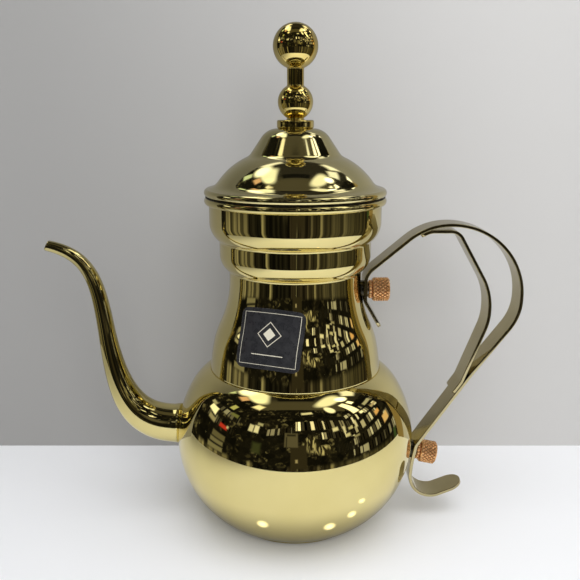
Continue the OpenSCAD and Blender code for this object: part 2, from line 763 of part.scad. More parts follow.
module lower_stud() {
    color(dark_steel) difference() { on_lower_stud() stud_blank(lower_pad_h); pot_solid(); }
}

module washer() {
    ring(stud_d / 2 + hole_gap, washer_d / 2, washer_t);
}

module upper_washer() {
    color(dark_steel) on_upper_stud(upper_pad_h + strap_t) washer();
}

module lower_washer() {
    color(dark_steel) on_lower_stud(lower_pad_h + strap_t) washer();
}

module bead_collar() {
    bead_share = 0.94; // of the radius at which neighbouring beads would touch
    bead_r = bead_collar_d / 2 * sin(180 / bead_count) * bead_share;
    core_r = bead_collar_d / 2 - bead_r;
    difference() {
        union() {
            cylinder(r = core_r, h = bead_collar_t);
            for (i = [0:bead_count - 1])
                rotate(360 * i / bead_count) translate([core_r, 0, 0])
                    cylinder(r = bead_r, h = bead_collar_t);
        }
        translate([0, 0, -cut]) cylinder(r = stud_d / 2 + running_gap, h = bead_collar_t + 2 * cut);
    }
}

module upper_bead_collar() {
    color(copper) on_upper_stud(nut_seat(upper_pad_h) - bead_collar_t) bead_collar();
}

module lower_bead_collar() {
    color(copper) on_lower_stud(nut_seat(lower_pad_h) - bead_collar_t) bead_collar();
}

module thumb_nut() {
    r = nut_d / 2;
    bore_end = 0.6; // room past the end of the stud
    difference() {
        rotate_extrude()
            polygon([[0, 0], [r - nut_chamfer, 0], [r, nut_chamfer], [r, nut_l - nut_chamfer],
                     [r - nut_chamfer, nut_l], [0, nut_l]]);
        translate([0, 0, -cut])
            cylinder(r = stud_d / 2 + running_gap, h = cut + stud_grip + bore_end);
    }
}

module upper_thumb_nut() {
    color(copper) on_upper_stud(nut_seat(upper_pad_h)) thumb_nut();
}

module lower_thumb_nut() {
    color(copper) on_lower_stud(nut_seat(lower_pad_h)) thumb_nut();
}

// ---- lid ----
module lid_shell() {
    hole_r = rod_d / 2 + hole_gap;
    color(gold)
        rotate_extrude() {
            translate([lid_bead_x, lid_bead_z]) circle(lid_bead_r);
            polygon(concat(
                [[lid_bead_x, lid_edge_z]],
                lid_side(),
                [[hole_r, lid_top_z], [hole_r, lid_under_z]],
                reversed(lid_side(lid_wall)),
                [[lid_bead_x, lid_edge_z - lid_wall]]));
        }
}

module lid_sleeve() {
    color(gold)
        intersection() {
            translate([0, 0, mouth_z - sleeve_depth])
                ring(sleeve_r - lid_wall, sleeve_r, sleeve_depth + dome_h);
            lid_inside();
        }
}

// ---- finial ----
module rod_hole(z0, z1) {
    translate([0, 0, z0]) cylinder(r = rod_d / 2 + hole_gap, h = z1 - z0);
}

module finial_foot() {
    color(deep_gold)
        difference() {
            rotate_extrude() {
                translate([0, lid_top_z]) square([foot_r - foot_edge_r, foot_h]);
                translate([0, lid_top_z + foot_edge_r]) square([foot_r, foot_h - 2 * foot_edge_r]);
                for (z = [foot_edge_r, foot_h - foot_edge_r])
                    translate([foot_r - foot_edge_r, lid_top_z + z]) circle(foot_edge_r);
            }
            rod_hole(lid_top_z - cut, foot_top_z + cut);
        }
}

module finial_small_ball() {
    color(deep_gold)
        difference() {
            union() {
                intersection() {
                    translate([0, 0, small_ball_z]) sphere(small_ball_r);
                    translate([0, 0, small_ball_z - small_ball_flat])
                        cylinder(r = small_ball_r + cut, h = 2 * small_ball_flat);
                }
                translate([0, 0, foot_top_z]) cylinder(r = stem_r, h = small_ball_r);
            }
            rod_hole(foot_top_z - cut, stem_z + cut);
        }
}

module finial_stem() {
    color(deep_gold)
        difference() {
            translate([0, 0, stem_z]) cylinder(r = stem_r, h = stem_h);
            rod_hole(stem_z - cut, stem_top_z + cut);
        }
}

module finial_big_ball() {
    color(deep_gold)
        difference() {
            intersection() {
                translate([0, 0, big_ball_z]) sphere(big_ball_r);
                translate([0, 0, stem_top_z]) cylinder(r = big_ball_r + cut, h = 2 * big_ball_r);
            }
            rod_hole(stem_top_z - cut, rod_end_z);
        }
}

module finial_rod() {
    color(dark_steel)
        translate([0, 0, rod_foot_z]) cylinder(d = rod_d, h = rod_end_z - rod_foot_z);
}

module finial_washer() {
    color(dark_steel)
        translate([0, 0, lid_under_z - rod_washer_t])
            ring(rod_d / 2 + hole_gap, rod_washer_d / 2, rod_washer_t);
}

module finial_nut() {
    color(dark_steel)
        translate([0, 0, lid_under_z - rod_washer_t - rod_nut_h])
            difference() {
                cylinder(d = rod_nut_w / cos(30), h = rod_nut_h, $fn = 6);
                translate([0, 0, -cut]) cylinder(d = rod_d, h = rod_nut_h + 2 * cut);
            }
}

base_disc();
belly_shell();
neck_shell();
mouth_bead();
spout();
label();
outer_strap();
inner_strap();
upper_pad();
lower_pad();
upper_stud();
lower_stud();
upper_washer();
lower_washer();
upper_bead_collar();
lower_bead_collar();
upper_thumb_nut();
lower_thumb_nut();
lid_shell();
lid_sleeve();
finial_foot();
finial_small_ball();
finial_stem();
finial_big_ball();
finial_rod();
finial_washer();
finial_nut();
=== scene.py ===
"""Long-spouted coffee pot in polished gold plate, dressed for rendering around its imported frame.

Sizes in the classes are millimetres in the part's own frame: the origin is the centre of
the flat base, +Z is up, the spout points to -X and the handle to +X.
"""
import logging
import math
from dataclasses import dataclass, field
from enum import Enum
from typing import Callable, Sequence

import bmesh
import bpy
import numpy as np
from mathutils import Matrix, Vector


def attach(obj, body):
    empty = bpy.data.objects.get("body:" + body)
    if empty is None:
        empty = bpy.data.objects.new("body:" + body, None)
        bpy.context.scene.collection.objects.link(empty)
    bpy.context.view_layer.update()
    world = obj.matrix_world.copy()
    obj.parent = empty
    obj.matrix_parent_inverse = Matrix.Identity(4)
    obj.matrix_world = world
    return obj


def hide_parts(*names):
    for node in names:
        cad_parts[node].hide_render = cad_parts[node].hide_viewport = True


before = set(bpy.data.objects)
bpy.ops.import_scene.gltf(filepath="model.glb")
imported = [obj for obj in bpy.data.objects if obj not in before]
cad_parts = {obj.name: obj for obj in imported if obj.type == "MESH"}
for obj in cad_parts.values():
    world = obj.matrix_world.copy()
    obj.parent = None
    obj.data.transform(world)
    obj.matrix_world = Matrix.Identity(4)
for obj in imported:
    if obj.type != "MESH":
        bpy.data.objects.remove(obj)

LOG = logging.getLogger("coffee_pot")
MM = 0.001
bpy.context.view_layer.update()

Point = tuple[float, float]
Face = tuple[int, ...]
Spot = tuple[float, float, float]
Colour = tuple[float, float, float]

AXIS = 0.001  # radius of an outline's ends at the axis
HAIR = 1e-6  # radii closer than this are the same


# ---------------- outlines and meshes


def arc_points(centre: Point, radius: float, start: float, end: float, step: float = 0.7) -> list[Point]:
    """Points along an arc of a turned outline.

    Args:
        centre: the arc's centre as (radius from the pot's axis, height).
        radius: the arc's radius; negative where its centre lies outside the sheet.
        start: first angle in degrees, from the horizontal.
        end: last angle in degrees.
        step: the longest distance between two points.

    Returns:
        The points from start to end.
    """
    count = max(3, math.ceil(abs(math.radians(end - start) * radius) / step))
    angles = np.radians(np.linspace(start, end, count + 1))
    return [(centre[0] + radius * math.cos(a), centre[1] + radius * math.sin(a)) for a in angles]


def line_points(start: Point, end: Point, step: float = 0.9) -> list[Point]:
    """Points along a straight line.

    Args:
        start: its first point.
        end: its last point.
        step: the longest distance between two points.

    Returns:
        The points from start to end.
    """
    count = max(1, math.ceil(math.dist(start, end) / step))
    return [tuple(np.array(start) + (np.array(end) - start) * i / count) for i in range(count + 1)]


def upright_arc(foot: Point, top: Point) -> tuple[Point, float, float]:
    """The arc through two points that stands upright at the second.

    Args:
        foot: the point where the arc starts.
        top: the point where it is upright.

    Returns:
        Its centre, its radius, and the angle at which it starts.
    """
    rise, run = top[1] - foot[1], top[0] - foot[0]
    radius = (run * run + rise * rise) / (2 * abs(run))
    return (top[0] - radius, top[1]), radius, -math.degrees(math.asin(rise / radius))


def arc_between(foot: Point, top: Point, radius: float) -> tuple[Point, float, float]:
    """The outward-bulging arc between two points.

    Args:
        foot: the arc's first point.
        top: the arc's last point.
        radius: the arc's radius.

    Returns:
        Its centre and its first and last angles, in degrees.
    """
    p, q = np.array(foot), np.array(top)
    half = np.linalg.norm(q - p) / 2
    along = (q - p) / (2 * half)
    centre = (p + q) / 2 + math.sqrt(radius**2 - half**2) * np.array([-along[1], along[0]])
    first, last = (math.degrees(math.atan2(*(point - centre)[::-1])) for point in (p, q))
    return tuple(centre), first, last


def trimmed(strand: Sequence[Point], length: float) -> list[Point]:
    """A strand of points with some length cut off its end.

    Args:
        strand: the points.
        length: how much is cut off, along the strand.

    Returns:
        The points that are left, the last one being the new end.
    """
    points = [np.array(point, float) for point in strand]
    while len(points) > 1:
        last = np.linalg.norm(points[-1] - points[-2])
        if last > length:
            points[-1] = points[-1] + (points[-2] - points[-1]) * length / last
            break
        length -= last
        points.pop()
    return [tuple(point) for point in points]


def soft_join(strands: Sequence[Sequence[Point]], softness: Sequence[float]) -> list[Point]:
    """Strands that meet end to end, with each corner between them rounded.

    Args:
        strands: each strand's last point is the next one's first.
        softness: how far each corner's rounding reaches along both strands.

    Returns:
        One outline.
    """
    outline = list(strands[0])
    for strand, soft in zip(strands[1:], softness):
        corner = np.array(outline[-1])
        rest = list(strand)
        if soft > 0:
            outline = trimmed(outline, soft)
            rest = trimmed(rest[::-1], soft)[::-1]
            start, end = np.array(outline[-1]), np.array(rest[0])
            for i in range(1, 8):
                t = i / 8
                outline.append(tuple((1 - t) ** 2 * start + 2 * t * (1 - t) * corner + t * t * end))
            outline += rest
        else:
            outline += rest[1:]
    return outline


def make_object(name: str, verts: np.ndarray, faces: list[Face]) -> bpy.types.Object:
    """A smooth-shaded mesh object with its faces turned outwards.

    Args:
        name: the piece's name.
        verts: points in millimetres.
        faces: point numbers of each face.

    Returns:
        The linked object, in metres.
    """
    mesh = bpy.data.meshes.new(name)
    mesh.from_pydata((np.asarray(verts) * MM).tolist(), [], faces)
    work = bmesh.new()
    work.from_mesh(mesh)
    bmesh.ops.remove_doubles(work, verts=work.verts, dist=1e-8)
    bmesh.ops.recalc_face_normals(work, faces=work.faces)
    work.to_mesh(mesh)
    work.free()
    mesh.polygons.foreach_set("use_smooth", [True] * len(mesh.polygons))
    made = bpy.data.objects.new(name, mesh)
    bpy.context.scene.collection.objects.link(made)
    return made


def grid_faces(rings: int, sides: int, closed: bool) -> list[Face]:
    """Quads over rings of points that each close on themselves.

    Args:
        rings: how many rings there are.
        sides: how many points a ring has.
        closed: True also joins the last ring to the first.

    Returns:
        The faces.
    """
    return [
        (k * sides + i, k * sides + (i + 1) % sides,
         (k + 1) % rings * sides + (i + 1) % sides, (k + 1) % rings * sides + i)
        for k in range(rings if closed else rings - 1)
        for i in range(sides)
    ]


def turned(
    name: str,
    outline: Sequence[Point],
    segments: int = 224,
    closed: bool = True,
    wave: Callable[[np.ndarray, float, float], np.ndarray] | None = None,
) -> bpy.types.Object:
    """A piece turned about the Z axis.

    Args:
        name: the piece's name.
        outline: (radius, height) points in millimetres.
        segments: how many steps go once around.
        closed: True for an outline that comes back to its start, away from the axis. False
            for one that runs from axis to axis.
        wave: gives the radius at an array of angles, from the outline's radius and height.

    Returns:
        The linked object.
    """
    angles = np.linspace(0, 2 * math.pi, segments, endpoint=False)
    rings = []
    for r, z in outline:
        radii = wave(angles, r, z) if wave else np.full(segments, r)
        rings.append(np.stack([radii * np.cos(angles), radii * np.sin(angles), np.full(segments, z)], 1))
    verts = np.concatenate(rings)
    faces = grid_faces(len(outline), segments, closed)
    if not closed:
        last = (len(outline) - 1) * segments
        faces += [tuple(range(segments))[::-1], tuple(range(last, last + segments))]
    return make_object(name, verts, faces)


@dataclass(frozen=True)
class Thread:
    """A thread cut into a rod of some radius, between two heights."""

    rod_r: float
    low: float
    high: float
    pitch: float
    depth: float
    play: float = 0.0

    def radii(self, angles: np.ndarray, radius: float, z: float) -> np.ndarray:
        """Radii of the threaded rod at one height, for turned.

        Args:
            angles: where around the rod, in radians.
            radius: the outline's radius.
            z: the height.

        Returns:
            The radius at each angle.
        """
        if radius < self.rod_r - HAIR or z < self.low or z > self.high:
            return np.full(len(angles), radius)
        phase = (z / self.pitch + angles / (2 * math.pi)) % 1.0
        return radius - self.depth * np.abs(2 * phase - 1) - self.play


# ---------------- node sheets


Output = bpy.types.NodeSocket
Socket = Output | float


class NodeSheet:
    """Short ways to lay nodes into a shader tree."""

    def __init__(self, tree: bpy.types.NodeTree) -> None:
        """Keeps the tree that the nodes go into."""
        self.tree = tree

    def feed(self, target: bpy.types.NodeSocket, value: Socket | Colour) -> None:
        """Links a socket to an input, or sets a plain value on it.

        Args:
            target: the input.
            value: a socket, a number or a colour.
        """
        if isinstance(value, Output):
            self.tree.links.new(value, target)
        else:
            target.default_value = value

    def node(self, kind: str, inputs: dict | None = None, **settings: object) -> bpy.types.Node:
        """Adds a node.

        Args:
            kind: the node's type name after ShaderNode.
            inputs: values or sockets by input name or number.
            **settings: the node's own settings.

        Returns:
            The new node.
        """
        made = self.tree.nodes.new("ShaderNode" + kind)
        for key, value in settings.items():
            setattr(made, key, value)
        for key, value in (inputs or {}).items():
            self.feed(made.inputs[key], value)
        return made

    def math(self, operation: str, first: Socket, second: Socket = 0.0) -> Output:
        """The result of one Math node."""
        return self.node("Math", {0: first, 1: second}, operation=operation).outputs[0]

    def plus(self, first: Socket, second: Socket) -> Output:
        """The sum of two values."""
        return self.math("ADD", first, second)

    def minus(self, first: Socket, second: Socket) -> Output:
        """The first value less the second."""
        return self.math("SUBTRACT", first, second)

    def times(self, first: Socket, second: Socket) -> Output:
        """The product of two values."""
        return self.math("MULTIPLY", first, second)

    def over(self, first: Socket, second: Socket) -> Output:
        """The first value divided by the second."""
        return self.math("DIVIDE", first, second)

    def most(self, first: Socket, second: Socket) -> Output:
        """The larger of two values."""
        return self.math("MAXIMUM", first, second)

    def size(self, value: Socket) -> Output:
        """A value without its sign."""
        return self.math("ABSOLUTE", value)

    def squares(self, first: Socket, second: Socket) -> Output:
        """The sum of two values' squares."""
        return self.plus(self.times(first, first), self.times(second, second))

    def vector(self, x: Socket, y: Socket = 0.0) -> Output:
        """A vector of two values and 0."""
        return self.node("CombineXYZ", {0: x, 1: y}).outputs[0]

    def parts(self, vector: Output) -> bpy.types.NodeOutputs:
        """The x, y and z of a vector."""
        return self.node("SeparateXYZ", {0: vector}).outputs

    def scaled(self, vector: Output, by: Socket) -> Output:
        """A vector or colour times a value."""
        return self.node("VectorMath", {0: vector, "Scale": by}, operation="SCALE").outputs[0]

    def noise(self, at: Output, scale: float, detail: float = 2.0, **more: float) -> Output:
        """A noise texture's value at a place. More names its other inputs."""
        return self.node("TexNoise", {"Vector": at, "Scale": scale, "Detail": detail, **more}).outputs[0]

    def bump(self, shader: bpy.types.Node, height: Output, strength: float, distance: float) -> None:
        """Roughens a shader's surface by a height."""
        made = self.node("Bump", {"Height": height, "Strength": strength, "Distance": distance})
        self.feed(shader.inputs["Normal"], made.outputs[0])

    def ease(
        self, value: Socket, low: float, high: float, to_low: float = 0.0, to_high: float = 1.0
    ) -> Output:
        """A smooth step of value between two limits."""
        limits = {0: value, 1: low, 2: high, 3: to_low, 4: to_high}
        return self.node("MapRange", limits, interpolation_type="SMOOTHSTEP").outputs[0]

    def span(self, value: Socket, low: float, high: float, soft: float) -> Output:
        """1 where value lies between two limits, falling to 0 over a soft edge."""
        rise = self.ease(value, low - soft, low + soft)
        return self.times(rise, self.ease(value, high - soft, high + soft, 1.0, 0.0))

    def mix(self, share: Socket, first: Socket | Colour, second: Socket | Colour) -> Output:
        """A colour between two others.

        Args:
            share: the second colour's share.
            first: the first colour.
            second: the second colour.

        Returns:
            The mixed colour.
        """
        made = self.node("Mix", data_type="RGBA")
        for name, value in (("Factor_Float", share), ("A_Color", first), ("B_Color", second)):
            socket = next(s for s in made.inputs if s.identifier == name)
            self.feed(socket, value if not isinstance(value, tuple) else (*value, 1.0))
        return next(s for s in made.outputs if s.identifier == "Result_Color")

    def steps(self, value: Socket, stops: Sequence[tuple[float, Colour]]) -> Output:
        """A colour ramp of value through the given stops.

        Args:
            value: where on the ramp, from 0 to 1.
            stops: place and colour of each stop.

        Returns:
            The colour.
        """
        made = self.node("ValToRGB", {0: value})
        ramp = made.color_ramp
        while len(ramp.elements) < len(stops):
            ramp.elements.new(0.5)
        for element, (place, colour) in zip(ramp.elements, stops):
            element.position = place
            element.color = (*colour, 1.0)
        return made.outputs[0]


# ---------------- finishes


def new_material(name: str) -> tuple[bpy.types.Material, NodeSheet, bpy.types.Node, bpy.types.NodeSocket]:
    """An empty material with a Principled shader.

    Args:
        name: the finish's name.

    Returns:
        The material, its node sheet, the shader node, and object coordinates in metres.
    """
    made = bpy.data.materials.new(name)
    made.use_nodes = True
    sheet = NodeSheet(made.node_tree)
    shader = made.node_tree.nodes["Principled BSDF"]
    place = sheet.node("TexCoord").outputs["Object"]
    return made, sheet, shader, place


@dataclass(frozen=True)
class PolishedPlate:
    """Mirror-bright plated sheet: faint ripples from forming, wipe marks and a slightly uneven tone."""

    name: str
    tint: Colour
    deep_tint: Colour
    gloss_low: float = 0.025
    gloss_high: float = 0.075
    ripple: float = 0.05
    ripple_scale: float = 26.0
    cloud_scale: float = 34.0
    wipe_scale: float = 190.0

    def build(self) -> bpy.types.Material:
        """Makes the material.

        Returns:
            The material.
        """
        made, sheet, shader, place = new_material(self.name)
        shader.inputs["Metallic"].default_value = 1.0
        cloud = sheet.noise(place, self.cloud_scale, 3.0)
        colour = sheet.mix(sheet.ease(cloud, 0.35, 0.7), self.tint, self.deep_tint)
        sheet.feed(shader.inputs["Base Color"], colour)
        wipe = sheet.noise(place, self.wipe_scale, 6.0, Roughness=0.7)
        sheet.feed(shader.inputs["Roughness"], sheet.ease(wipe, 0.4, 0.75, self.gloss_low, self.gloss_high))
        wave = sheet.noise(place, self.ripple_scale, 1.0)
        sheet.bump(shader, wave, self.ripple, 0.001)
        return made


@dataclass(frozen=True)
class CutMetal:
    """Turned or knurled metal with fine tool marks, and painted shade that darkens its hollows."""

    name: str
    tint: Colour
    dark_tint: Colour
    gloss: float
    mark_scale: float = 900.0
    bite: float = 0.25
    hollow_shade: float = 0.0
    hollow_shade_tone: float = 0.12
    metal: float = 1.0
    cloud_scale: float = 420.0

    def build(self) -> bpy.types.Material:
        """Makes the material.

        Returns:
            The material.
        """
        made, sheet, shader, place = new_material(self.name)
        shader.inputs["Metallic"].default_value = self.metal
        cloud = sheet.noise(place, self.cloud_scale, 4.0)
        colour = sheet.mix(sheet.ease(cloud, 0.3, 0.7), self.tint, self.dark_tint)
        # painted shade: the deeper a point lies in a cut, the darker its colour
        cut = sheet.node("Attribute", attribute_name="cut_depth").outputs["Fac"]
        hollow = sheet.ease(cut, 0.3, 0.95, 0.0, self.hollow_shade)
        hollow_shade_colour = tuple(c * self.hollow_shade_tone for c in self.dark_tint)
        sheet.feed(shader.inputs["Base Color"], sheet.mix(hollow, colour, hollow_shade_colour))
        marks = sheet.noise(place, self.mark_scale, 5.0)
        gloss = sheet.ease(marks, 0.3, 0.75, self.gloss * 0.7, self.gloss * 1.4)
        sheet.feed(shader.inputs["Roughness"], gloss)
        sheet.bump(shader, marks, self.bite, 0.0001)
        return made


@dataclass(frozen=True)
class LabelFilm:
    """Black gloss film with a plain pale keyline, a lozenge and a rule."""

    name: str
    width: float
    height: float
    line_tint: Colour = (0.62, 0.58, 0.46)
    film_tint: Colour = (0.020, 0.020, 0.022)
    dust_tint: Colour = (0.034, 0.034, 0.036)
    margin: float = 2.1
    line: float = 0.24
    lozenge_up: float = 2.4
    lozenge_low: float = 6.1
    lozenge_high: float = 6.6
    core_half: float = 3.4
    rule_half: float = 8.6
    rule_low: float = -8.35
    rule_high: float = -7.95
    blur: float = 0.06

    def build(self) -> bpy.types.Material:
        """Makes the material. Its UV map runs from 0 to 1 across and up the label.

        Returns:
            The material.
        """
        made, sheet, shader, place = new_material(self.name)
        uv = sheet.node("TexCoord").outputs["UV"]
        parts = sheet.parts(uv)
        across = sheet.times(sheet.minus(parts[0], 0.5), self.width)
        up = sheet.times(sheet.minus(parts[1], 0.5), self.height)
        a, b = sheet.size(across), sheet.size(up)
        past_side = sheet.minus(a, self.width / 2 - self.margin)
        edge = sheet.most(past_side, sheet.minus(b, self.height / 2 - self.margin))
        keyline = sheet.span(edge, -self.line, 0.0, self.blur)
        lozenge = sheet.plus(a, sheet.size(sheet.minus(up, self.lozenge_up)))
        ring = sheet.span(lozenge, self.lozenge_low, self.lozenge_high, 0.08)
        shape = sheet.most(ring, sheet.ease(lozenge, self.core_half, self.core_half - 0.2))
        rule = sheet.ease(a, self.rule_half, self.rule_half - 0.2)
        rule = sheet.times(rule, sheet.span(up, self.rule_low, self.rule_high, self.blur))
        print_mask = sheet.most(keyline, sheet.most(shape, rule))
        dust = sheet.noise(place, 260.0, 3.0)
        film = sheet.mix(sheet.ease(dust, 0.4, 0.9), self.film_tint, self.dust_tint)
        sheet.feed(shader.inputs["Base Color"], sheet.mix(print_mask, film, self.line_tint))
        sheet.feed(shader.inputs["Roughness"], sheet.ease(dust, 0.3, 0.8, 0.22, 0.42))
        shader.inputs["Specular IOR Level"].default_value = 0.3
        sheet.bump(shader, dust, 0.05, 0.0001)
        return made


class Slot(Enum):
    """The record's material slots."""

    GOLD = "gold"
    DEEP_GOLD = "deep_gold"
    COPPER = "copper"
    DARK_STEEL = "dark_steel"
    LABEL = "label"


class Body(Enum):
    """The bodies that pieces ride on."""

    POT = "pot"
    LID = "lid"
    UPPER_COLLAR = "upper_collar"
    UPPER_NUT = "upper_nut"
    LOWER_COLLAR = "lower_collar"
    LOWER_NUT = "lower_nut"


class Workshop:
    """Holds the finishes and fits each piece with its finish and body."""

    def __init__(self) -> None:
        """Makes every finish once."""
        sheet = PolishedPlate("sheet_gold", (0.78, 0.67, 0.30), (0.75, 0.64, 0.275), 0.02, 0.055)
        strap = PolishedPlate("strap_gold", (0.53, 0.46, 0.26), (0.46, 0.39, 0.205), 0.09, 0.17, 0.12, 60.0)
        raw = PolishedPlate("raw_gold", (0.70, 0.58, 0.30), (0.60, 0.49, 0.24), 0.3, 0.4)
        deep = PolishedPlate("deep_gold", (0.86, 0.70, 0.26), (0.82, 0.64, 0.21), ripple=0.03)
        lid = PolishedPlate("lid_gold", (0.79, 0.70, 0.36), (0.75, 0.66, 0.32), 0.055, 0.09)
        copper = CutMetal(
            "knurled_copper", (1.0, 0.59, 0.29), (0.90, 0.48, 0.2), gloss=0.24,
            mark_scale=500.0, bite=0.06, hollow_shade=0.9, metal=0.82,
        )
        steel = CutMetal("dark_steel", (0.16, 0.15, 0.13), (0.07, 0.065, 0.055), gloss=0.32)
        # black for the ring of painted shade in the lid's crevice
        crevice_shade = CutMetal("crevice_shade_black", (0.05, 0.045, 0.035), (0.03, 0.026, 0.02), gloss=0.5)
        self.sheet_gold, self.strap_gold, self.raw_gold = sheet.build(), strap.build(), raw.build()
        self.deep_gold, self.lid_gold, self.copper = deep.build(), lid.build(), copper.build()
        self.dark_steel, self.crevice_shade_black = steel.build(), crevice_shade.build()
        self.film = LabelFilm("label_film", Label.width, Label.height).build()

    def fit(
        self, piece: bpy.types.Object, finish: bpy.types.Material, slot: Slot, body: Body, *nodes: str
    ) -> None:
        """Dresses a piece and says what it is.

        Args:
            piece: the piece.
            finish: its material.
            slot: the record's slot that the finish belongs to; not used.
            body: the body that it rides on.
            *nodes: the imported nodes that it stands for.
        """
        piece.data.materials.clear()
        piece.data.materials.append(finish)
        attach(piece, body.value)
        if nodes:
            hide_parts(*nodes)
        LOG.info("%s: %d faces, rides on %s", piece.name, len(piece.data.polygons), body.value)

    def dress_node(self, node: str, finish: bpy.types.Material) -> None:
        """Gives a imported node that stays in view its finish.

        Args:
            node: the node's name.
            finish: its material.
        """
        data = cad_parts[node].data
        data.materials.clear()
        data.materials.append(finish)
        LOG.info("%s keeps its packed shape", node)


# ---------------- pot


@dataclass
class PotBody:
    """Base, belly, neck with two collars, and the bead around the mouth."""

    wall: float = 1.0
    base_r: float = 37.7
    base_t: float = 1.0
    belly_r: float = 66.8
    belly_mid_z: float = 49.5
    belly_top_r: float = 60.0
    shoulder_r: float = 28.0
    shoulder_start: float = 30.7
    neck_foot_r: float = 47.4
    neck_r: float = 36.0
    neck_flare_h: float = 50.4
    neck_waist_h: float = 4.4
    neck_hollow: float = 0.36
    neck_hollow_h: float = 24.0
    collar_low_r: float = 41.1
    collar_low_foot_h: float = 9.2
    collar_low_wall_h: float = 7.4
    collar_top_r: float = 46.3
    collar_foot_h: float = 10.0
    collar_wall_h: float = 9.3
    bead_r: float = 2.15
    bead_stand_out: float = 0.3
    strainer_hole_d: float = 2.6
    strainer_pitch: float = 4.2
    strainer_rings: int = 2
    strainer_z: float = 54.7
    drill_l: float = 6.0
    drill_sides: int = 20
    base_dish_r: float = 8.0
    base_dish_h: float = 0.25
    base_grooves: tuple[float, ...] = (17.5, 30.5)
    base_groove_h: float = 0.2
    neck_softness: tuple[float, ...] = (0.5, 0.9, 0.0, 0.9, 0.0)
    belly_sides: int = 256

    def __post_init__(self) -> None:
        """Works out the arcs that the outlines are made of."""
        foot, widest = (self.base_r, self.base_t), (self.belly_r, self.belly_mid_z)
        self.low_centre, self.low_radius, self.low_start = upright_arc(foot, widest)
        self.top_centre = (self.belly_r - self.belly_top_r, self.belly_mid_z)
        turn = math.radians(self.shoulder_start)
        reach = self.belly_top_r - self.shoulder_r
        shoulder_x = self.top_centre[0] + reach * math.cos(turn)
        self.shoulder_centre = (shoulder_x, self.belly_mid_z + reach * math.sin(turn))
        self.shoulder_end = math.degrees(math.acos((self.neck_foot_r - shoulder_x) / self.shoulder_r))
        self.neck_z = self.shoulder_centre[1] + self.shoulder_r * math.sin(math.radians(self.shoulder_end))
        flare = self.neck_foot_r - self.neck_r
        self.neck_arc_r = (flare**2 + self.neck_flare_h**2) / (4 * flare)
        self.neck_sweep = math.degrees(math.asin(self.neck_flare_h / 2 / self.neck_arc_r))
        self.waist_z = self.neck_z + self.neck_flare_h
        self.neck_top_z = self.waist_z + self.neck_waist_h
        self.collar_foot_z = self.neck_top_z + self.collar_low_foot_h
        self.collar_z = self.collar_foot_z + self.collar_low_wall_h
        self.bead_z = self.collar_z + self.collar_foot_h + self.collar_wall_h + self.bead_r
        self.mouth_z = self.bead_z + self.bead_r

    def belly_radius(self, z: float) -> float:
        """Outer radius of the belly at a height below the shoulder.

        Args:
            z: the height.

        Returns:
            The radius.
        """
        low, top = (self.low_centre, self.low_radius), (self.top_centre, self.belly_top_r)
        centre, radius = low if z < self.belly_mid_z else top
        return centre[0] + math.sqrt(radius**2 - (z - centre[1]) ** 2)

    def hollow(self, z: float) -> float:
        """How far the neck is drawn in just above its foot, so that it springs off the crease.

        Args:
            z: the height.

        Returns:
            The distance. Its largest value is neck_hollow.
        """
        rise = min(1.0, max(0.0, (z - self.neck_z) / self.neck_hollow_h))
        to_one = 27 / 4
        return self.neck_hollow * to_one * rise * (1 - rise) ** 2

    def neck_radius(self, z: float) -> float:
        """Outer radius of the neck's flared stretch at a height.

        Args:
            z: the height.

        Returns:
            The radius.
        """
        if z < self.neck_z + self.neck_flare_h / 2:
            bulge = math.sqrt(self.neck_arc_r**2 - (z - self.neck_z) ** 2)
            return self.neck_foot_r - self.neck_arc_r + bulge - self.hollow(z)
        below = min(z, self.waist_z) - self.waist_z
        return self.neck_r + self.neck_arc_r - math.sqrt(self.neck_arc_r**2 - below**2)

    def belly_strands(self, inset: float = 0.0) -> list[list[Point]]:
        """The belly's three arcs, from foot to crease, moved inwards by inset.

        Args:
            inset: how far inside the outer skin.

        Returns:
            The arcs.
        """
        start = self.low_start
        if inset:
            start = -math.degrees(math.asin((self.belly_mid_z - self.base_t) / (self.low_radius - inset)))
        return [
            arc_points(self.low_centre, self.low_radius - inset, start, 0.0),
            arc_points(self.top_centre, self.belly_top_r - inset, 0.0, self.shoulder_start),
            arc_points(self.shoulder_centre, self.shoulder_r - inset, self.shoulder_start, self.shoulder_end),
        ]

    def neck_strands(self, inset: float = 0.0) -> list[list[Point]]:
        """The neck's strands, from crease to mouth, moved inwards by inset.

        Args:
            inset: how far inside the outer skin.

        Returns:
            The strands.
        """
        low_top = (self.collar_low_r, self.collar_foot_z)
        low_c, low_r, low_a = upright_arc((self.neck_r, self.neck_top_z), low_top)
        top = (self.collar_top_r, self.collar_z + self.collar_foot_h)
        top_c, top_r, top_a = upright_arc((self.collar_low_r, self.collar_z), top)
        foot_c = (self.neck_foot_r - self.neck_arc_r, self.neck_z)
        waist_c = (self.neck_r + self.neck_arc_r, self.waist_z)
        foot = arc_points(foot_c, self.neck_arc_r - inset, 0.0, self.neck_sweep)
        waist = arc_points(waist_c, -self.neck_arc_r - inset, self.neck_sweep, 0.0)
        low = arc_points(low_c, low_r - inset, low_a, 0.0)
        high = arc_points(top_c, top_r - inset, top_a, 0.0)
        rim = line_points(high[-1], (self.collar_top_r - inset, self.mouth_z))
        flare = [(r - self.hollow(z), z) for r, z in foot] + waist[1:]
        return [flare, line_points(flare[-1], low[0]), low, line_points(low[-1], high[0]), high, rim]

